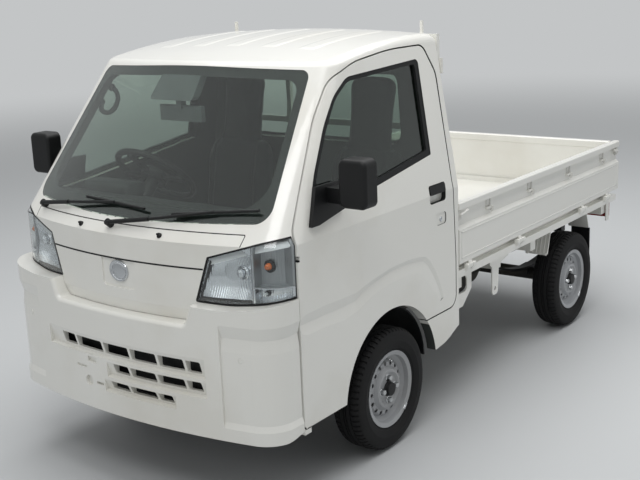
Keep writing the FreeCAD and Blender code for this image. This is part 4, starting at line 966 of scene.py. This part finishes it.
def sewn(form, middle_x, cross_z):
    """Draws the cover in along its sewn channels: one each side of the middle and one across."""
    form.normal_update()
    pulls = []
    for point in form.verts:
        beside = abs(abs(point.co.x - middle_x) - CHANNEL_OUT) / CHANNEL_HALF
        pull = math.exp(-beside * beside)
        if cross_z:
            across = abs(point.co.z - cross_z) / CHANNEL_HALF
            pull = max(pull, math.exp(-across * across))
        pulls.append((point, point.normal * (-CHANNEL_DEPTH * pull)))
    for point, move in pulls:
        point.co += move


seat_cloth = woven("woven_seat_cloth", "#0E0F10", "#141516")
seat_x = (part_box("seat_left")[0][0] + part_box("seat_left")[1][0]) / 2
cushion = bmesh.new()
block(cushion, at(1000 * seat_x - 212, -178, 704), at(1000 * seat_x + 212, 246, 824), 40)
cushion = swollen(cushion)
sewn(cushion, seat_x, 0)
back = bmesh.new()
rounded_face(back, BACK_OUTLINE)
raised = bmesh.ops.extrude_face_region(back, geom=back.faces[:])["geom"]
raised = [item for item in raised if isinstance(item, bmesh.types.BMVert)]
bmesh.ops.translate(back, vec=(0, 0, BACK_THICK), verts=raised)
rims = []
for edge in back.edges:
    start, stop = edge.verts
    if abs(start.co.z - stop.co.z) < 0.001 and len(edge.link_faces) == 2:
        rims.append(edge)
soften(back, rims, BACK_ROUND)
stand = Matrix.Translation(at(1000 * seat_x, 352, 812))
stand = stand @ Matrix.Rotation(math.pi / 2 - math.atan(SEAT_SLOPE), 4, "X")
bmesh.ops.transform(back, matrix=stand, verts=back.verts)
bmesh.ops.recalc_face_normals(back, faces=back.faces)
back = swollen(back)
sewn(back, seat_x, HEADREST_SEAM_Z)
for name, form in (("seat_cushion", cushion), ("seat_back", back)):
    other = form.copy()
    for side, shape in (("left", form), ("right", other)):
        if side == "right":
            bmesh.ops.translate(shape, vec=(-2 * seat_x, 0, 0), verts=shape.verts)
        pad = publish(name + "_" + side, shape, seat_cloth, "chassis", 180)
        finer = pad.modifiers.new("finer", "SUBSURF")
        finer.levels = 1
        finer.render_levels = 1
        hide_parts("seat_" + side)

# Cab fittings: grained mouldings screwed to the dashboard, the doors and the right pillar. A hood over
# the meters, vents, gloss blank panels, defroster slots under the glass, an assist grip, the cap of the
# steering wheel and an armrest on each door.

DEFROSTER_SLOTS = 30
SLOT_PITCH = 0.04
COLUMN_RAKE = math.radians(48)
gloss_black = moulded("gloss_black_panel", "#0D0E0F", "#121314", 0.15, 0.004, 0.00001)
hood = bmesh.new()
block(hood, at(-490, -560, 1105), at(-210, -448, 1178), 24)
block(hood, at(-475, -452, 1118), at(-225, -440, 1164), 5)
for x in (-585, -150, 150, 585):
    block(hood, at(x - 48, -560, 1062), at(x + 48, -472, 1118), 10)
block(hood, at(190, -560, 905), at(590, -478, 1040), 14)
publish("dash_mouldings", hood, dash_plastic, "chassis")
panel = bmesh.new()
block(panel, at(-100, -560, 965), at(100, -474, 1062), 6)
block(panel, at(-462, -444, 1124), at(-238, -437, 1158), 4)
publish("dash_blank_panels", panel, gloss_black, "chassis")
slots = bmesh.new()
dash_skin = surface_of("dashboard")
for index in range(DEFROSTER_SLOTS):
    x = -0.58 + index * SLOT_PITCH
    top = dash_skin.ray_cast(Vector((x, STATION_ZERO - 0.655, 2)), DOWN)[0]
    if top:
        for shift in (0.0, 0.013):
            seat = Matrix.Translation(top + Vector((0, shift, 0)))
            block(slots, (-0.017, -0.004, -0.003), (0.017, 0.004, 0.0012), 0.8, seat)
publish("defroster_slots", slots, gloss_black, "chassis")
grip = bmesh.new()
grip_line = [
    at(638, -196, 1530),
    at(626, -159, 1489),
    at(626, -231, 1412),
    at(628, -300, 1436),
    at(642, -262, 1472),
]
tube(grip, grip_line, 11, 16)
for end in (grip_line[0], grip_line[-1]):
    lathe(grip, [(17, -8), (17, 4), (13, 8), (0, 9)], end + Vector((0.006, 0, 0)), (-1, 0, 0), 20)
bmesh.ops.scale(grip, vec=(-1, 1, 1), verts=grip.verts)
grip_plastic = moulded("grip_plastic", "#5A5E5D", "#646766", 0.55, 0.0012, 0.0001)
publish("assist_grip", grip, grip_plastic, "chassis")
wheel_box = [Vector(end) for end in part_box("steering_wheel")]
hub_centre = (wheel_box[0] + wheel_box[1]) / 2
column_way = Vector((0, math.cos(COLUMN_RAKE), math.sin(COLUMN_RAKE)))
boss = bmesh.new()
lathe(boss, [(60, -14), (64, -6), (63, 4), (56, 12), (40, 17), (0, 19)], hub_centre, column_way, 40)
publish("wheel_boss_cap", boss, dash_plastic, "steering_wheel")


def armrest():
    """An elbow rest on the door's lining, and the edge of the pocket under it."""
    form = bmesh.new()
    block(form, at(640, -260, 842), at(695, 210, 886), 14)
    block(form, at(668, -420, 700), at(694, 380, 712), 4)
    return form


both_bodies("door_armrest", armrest, dash_plastic, "door_left")

# Roof beads: five broad shallow beads pressed along the roof sheet so that it doesn't drum. Each is a
# strip laid on the roof, raised in the middle and sunk into the sheet at its edges, in millimetres.

ROOF_BEADS = (-392, -196, 0, 196, 392)
BEAD_FRONT, BEAD_LENGTH = -95, 540
BEAD_HALF = 44
BEAD_RISE = 3.2
BEAD_SINK = 0.4
BEAD_SLOPE = 0.35
roof_skins = (surface_of("roof_panel"), surface_of("cab_frame"))
beads = bmesh.new()
for middle in ROOF_BEADS:
    bead = bmesh.new()
    bmesh.ops.create_grid(bead, x_segments=10, y_segments=40, size=0.5)
    for corner in bead.verts:
        across, along = 2 * corner.co.x, 0.5 + corner.co.y
        aim = at(middle + across * BEAD_HALF, BEAD_FRONT + along * BEAD_LENGTH, 2100)
        hits = [skin.ray_cast(aim, DOWN)[0] for skin in roof_skins]
        edge = min(1 - abs(across), 6 * along, 6 * (1 - along), BEAD_SLOPE) / BEAD_SLOPE
        rise = BEAD_RISE * edge * edge * (3 - 2 * edge) - BEAD_SINK
        top = max((hit for hit in hits if hit), key=lambda hit: hit.z)
        corner.co = top + Vector((0, 0, rise / 1000))
    join(beads, bead)
bmesh.ops.solidify(beads, geom=beads.faces[:], thickness=0.001)
publish("roof_beads", beads, white_enamel, "chassis", 60)

# Black strips in the panel gaps: painted shadow. Thin dark strips lie on the skin between the cowl and the
# garnish under it and round the cowl's sides and top, standing in for the shade in those shut lines. The
# rubber channel that holds the rear window in the back panel is a real black seal.

GAP_Z = 0.955
GAP_SHADOW_STRIP = (0.826, 0.0064, 1)
STRIP_PROUD = 0.0006
BACK_OUTER = [(-478, 1217, 66), (478, 1217, 66), (458, 1568, 66), (-458, 1568, 66)]
BACK_INNER = [(-456, 1239, 50), (456, 1239, 50), (437, 1546, 50), (-437, 1546, 50)]
frame_skin = surface_of("cab_frame")
# Painted shadow: a dark strip laid on the skin where the cowl meets the garnish, for the shade in that shut
# line.
gap_shadow_strip = bmesh.new()
bmesh.ops.create_grid(gap_shadow_strip, x_segments=40, y_segments=1, size=0.5)
bmesh.ops.scale(gap_shadow_strip, vec=GAP_SHADOW_STRIP, verts=gap_shadow_strip.verts)
for corner in gap_shadow_strip.verts:
    x, up = corner.co.x, corner.co.y
    hit = frame_skin.ray_cast(at(1000 * x, -1200, 1000 * GAP_Z), REARWARD)[0]
    corner.co = Vector((x, hit.y - 0.0008, GAP_Z + up))
bmesh.ops.recalc_face_normals(gap_shadow_strip, faces=gap_shadow_strip.faces)
bmesh.ops.solidify(gap_shadow_strip, geom=gap_shadow_strip.faces[:], thickness=0.001)
publish("cowl_gap_painted_shadow", gap_shadow_strip, seal_rubber, "chassis")
# Painted shadow: a thin dark strip round the cowl's sides and top, for the shade in its shut line.
edge_shadow_strip = ring_between(
    [(-559, 957, 4), (559, 957, 4), (571, 1090, 6), (-571, 1090, 6)],
    [(-556, 960, 2), (556, 960, 2), (568, 1087, 4), (-568, 1087, 4)],
)
sliced(edge_shadow_strip, (1, 0, 0), [step / 20 for step in range(-11, 12)])
cut(edge_shadow_strip, (0, 1, 0), 1.05, clear_inner=True)
skins = (frame_skin, surface_of("cowl_panel"))
for corner in edge_shadow_strip.verts:
    aim = Vector((corner.co.x, AHEAD, corner.co.y))
    hits = [skin.ray_cast(aim, REARWARD)[0] for skin in skins]
    front = min((hit for hit in hits if hit), key=lambda hit: hit.y)
    corner.co = front - REARWARD * STRIP_PROUD
bmesh.ops.solidify(edge_shadow_strip, geom=edge_shadow_strip.faces[:], thickness=0.0008)
publish("cowl_edge_painted_shadow", edge_shadow_strip, seal_rubber, "chassis")
rear_seal = ring_between(BACK_OUTER, BACK_INNER)
back_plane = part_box("back_panel")[1][1]
for corner in rear_seal.verts:
    corner.co = Vector((corner.co.x, back_plane + 0.003, corner.co.y))
bmesh.ops.solidify(rear_seal, geom=rear_seal.faces[:], thickness=0.006)
publish("rear_window_seal", rear_seal, seal_rubber, "chassis")

# Bed fittings: rope hooks and latches of rod and sheet in white enamel, riveted to the gates, and white
# hinge covers on the gates and the side rail. A bead is pressed round each gate's panel, and ribs into
# the sheet of the rear wheel houses. Places are in millimetres.

HINGES = (670, 1190, 1980, 2337)
ROPE_HOOKS = (883, 1334, 1811, 2284)
GATE_FACE = 729.5
GATE_PANEL = (592, 2486, 702, 830)
BEAD_WIDE, BEAD_PROUD, BEAD_SOFT = 7, 1.8, 1.7
PIN_X, PIN_Z = 731.5, 658
hook_enamel = enamel("white_hook_enamel", "#D9D8D3", "#C9C7BF", 0.4, 0.2)


def hooks():
    """Rope hooks of bent rod, each on its own plate."""
    form = bmesh.new()
    for station in ROPE_HOOKS:
        out = GATE_FACE - 19
        block(form, at(out - 1.5, station - 18, 894), at(out + 2.5, station + 24, 932), 2)
        line = [(out + 4, 930), (out + 4, 884), (out + 10, 866), (out + 19, 868), (out + 20, 892)]
        tube(form, [at(x, station + 16, z) for x, z in line], 4.5, 12)
    return form


def gate_bead():
    """Four soft ridges round the gate's panel."""
    form = bmesh.new()
    front, rear, low, high = GATE_PANEL
    inner, outer = GATE_FACE - 2, GATE_FACE + BEAD_PROUD
    for z in (low, high - BEAD_WIDE):
        block(form, at(inner, front, z), at(outer, rear, z + BEAD_WIDE), BEAD_SOFT)
    for station in (front, rear - BEAD_WIDE):
        block(form, at(inner, station, low), at(outer, station + BEAD_WIDE, high), BEAD_SOFT)
    return form


def latches():
    """A case, a pivot and a lever at each end of the gate."""
    form = bmesh.new()
    for station, way in ((592, 1), (2496, -1)):
        block(form, at(GATE_FACE - 22, station - 14, 884), at(GATE_FACE - 6, station + 14, 930), 4)
        lathe(form, [(8, -2), (8, 5), (6, 7), (0, 7.4)], at(GATE_FACE - 6, station, 906), (1, 0, 0), 20)
        line = [(-4, 0, 908), (0, way * 30, 914), (2, way * 60, 922)]
        tube(form, [at(GATE_FACE + x, station + along, z) for x, along, z in line], 7, 12)
    return form


def by_pin(form, low, high, soft):
    """A block whose corners are (out, station, up) from the hinge pins' line."""
    low, high = (at(PIN_X + out, station, PIN_Z + up) for out, station, up in (low, high))
    block(form, low, high, soft)


def gate_knuckles():
    """The gate's own hinge covers."""
    form = bmesh.new()
    for station in HINGES:
        by_pin(form, (-10, station - 12.5, -10), (10.5, station + 12.5, 10), 3)
    return form


def rail_knuckles():
    """The rail's hinge covers, one each side of the gate's."""
    form = bmesh.new()
    for station in HINGES:
        for start in (station - 40, station + 15):
            by_pin(form, (-12, start, -12), (11.5, start + 25, 11), 3)
            by_pin(form, (-9, start + 3, -18), (6, start + 22, -8), 2)
    return form


both_bodies("rope_hooks", hooks, hook_enamel, "gate_left")
both_bodies("gate_bead", gate_bead, white_enamel, "gate_left")
both_bodies("gate_latches", latches, hook_enamel, "gate_left")
both_bodies("gate_hinge_covers", gate_knuckles, white_enamel, "gate_left")
both_in_one("rail_hinge_covers", rail_knuckles(), white_enamel, "chassis")
ribs = bmesh.new()
for x in range(578, 690, 22):
    tube(ribs, [at(x, 1611, 478), at(x, 1631, 544), at(x, 1652, 612)], 4, 12)
for x in (573, 680):
    lathe(ribs, [(8, 0), (8, 3), (5, 5), (0, 5)], at(x, 1609, 476), FORWARD, 12)
both_in_one("wheel_house_ribs", ribs, white_enamel, "chassis")

# Studio: a pale grey floor that fades into the backdrop, and soft lamps above and beside the truck. They
# stand where the windscreen doesn't mirror them, seen from the camera.

BACKDROP = "#C3C5C6"
FLOOR_HALF = 150
FLOOR_DROP = 0.0015
floor_mesh = bpy.data.meshes.new("studio_floor")
sheet = bmesh.new()
bmesh.ops.create_grid(sheet, x_segments=1, y_segments=1, size=FLOOR_HALF)
sheet.to_mesh(floor_mesh)
sheet.free()
floor = bpy.data.objects.new("studio_floor", floor_mesh)
bpy.context.scene.collection.objects.link(floor)
floor.location.z = -FLOOR_DROP
screed = new_material("studio_floor")
place = add(screed, "ShaderNodeTexCoord").outputs["Object"]
distance = add(screed, "ShaderNodeVectorMath", {0: place}, operation="LENGTH")
fade = add(
    screed,
    "ShaderNodeMapRange",
    {"Value": distance.outputs["Value"], "From Min": 5.0, "From Max": 16.0},
    interpolation_type="SMOOTHSTEP",
)
matt = add(screed, "ShaderNodeBsdfPrincipled", {"Base Color": linear(BACKDROP), "Roughness": 0.6})
glow = add(screed, "ShaderNodeEmission", {"Color": linear(BACKDROP), "Strength": 1.0})
floor_mix = add(
    screed,
    "ShaderNodeMixShader",
    {0: fade.outputs[0], 1: matt.outputs[0], 2: glow.outputs[0]},
)
close_material(screed, floor_mix)
floor_mesh.materials.append(screed)

world = bpy.data.worlds.new("studio")
bpy.context.scene.world = world
world.use_nodes = True
world.node_tree.nodes.clear()
ray = add(world, "ShaderNodeLightPath")
direct = ray.outputs["Is Camera Ray"]
for kind in ("Is Glossy Ray", "Is Transmission Ray"):
    inputs = {0: direct, 1: ray.outputs[kind]}
    direct = add(world, "ShaderNodeMath", inputs, operation="MAXIMUM").outputs[0]
level = ranged(world, direct, 0.55, 1.0)
sky = add(world, "ShaderNodeBackground", {"Color": linear(BACKDROP), "Strength": level})
add(world, "ShaderNodeOutputWorld", {"Surface": sky.outputs[0]})


def softbox(name, centre, target, width, depth, power):
    """A rectangular soft lamp that faces a point of the truck."""
    lamp = bpy.data.lights.new(name, "AREA")
    lamp.shape = "RECTANGLE"
    lamp.size = width
    lamp.size_y = depth
    lamp.energy = power
    holder = bpy.data.objects.new(name, lamp)
    aim = (Vector(target) - Vector(centre)).to_track_quat("-Z", "Y")
    holder.matrix_world = Matrix.Translation(centre) @ aim.to_matrix().to_4x4()
    bpy.context.scene.collection.objects.link(holder)


softbox("ceiling_lamp", (0.0, 1.2, 6.0), (0.0, 1.2, 0.0), 7.0, 7.8, 375)
softbox("front_lamp", (-1.5, -6.5, 3.4), (0.0, -1.0, 0.8), 3.5, 2.0, 20)
softbox("key_lamp", (1.7, -4.2, 5.4), (0.0, -1.3, 1.0), 2.6, 2.2, 80)
softbox("side_lamp", (6.0, 1.5, 3.0), (0.5, 0.5, 0.7), 2.5, 4.5, 15)

# Camera: it stands ahead of the truck's left front corner, a little above the roof, rolled slightly.
# Its place, aim and lens were fitted to the wheels' rims and to pairs of points on the front.

CAMERA_PLACE = (3.033, -4.3715, 2.001)
CAMERA_LENS, CAMERA_SENSOR = 59.63, 36
CAMERA_TURN = math.radians(36.90)
CAMERA_DIP = math.radians(14.12)
CAMERA_ROLL = math.radians(2.31)
back_way = Vector(
    (
        math.sin(CAMERA_TURN) * math.cos(CAMERA_DIP),
        -math.cos(CAMERA_TURN) * math.cos(CAMERA_DIP),
        math.sin(CAMERA_DIP),
    )
)
level_right = back_way.cross(Vector((0, 0, 1))).normalized() * -1
level_up = back_way.cross(level_right)
right = math.cos(CAMERA_ROLL) * level_right - math.sin(CAMERA_ROLL) * level_up
up = math.sin(CAMERA_ROLL) * level_right + math.cos(CAMERA_ROLL) * level_up
lens = bpy.data.cameras.new("camera")
lens.sensor_width = CAMERA_SENSOR
lens.lens = CAMERA_LENS
camera = bpy.data.objects.new("camera", lens)
turn = Matrix((right, up, back_way)).transposed().to_4x4()
camera.matrix_world = Matrix.Translation(CAMERA_PLACE) @ turn
bpy.context.scene.collection.objects.link(camera)
bpy.context.scene.camera = camera
bpy.context.scene.view_settings.view_transform = "Standard"
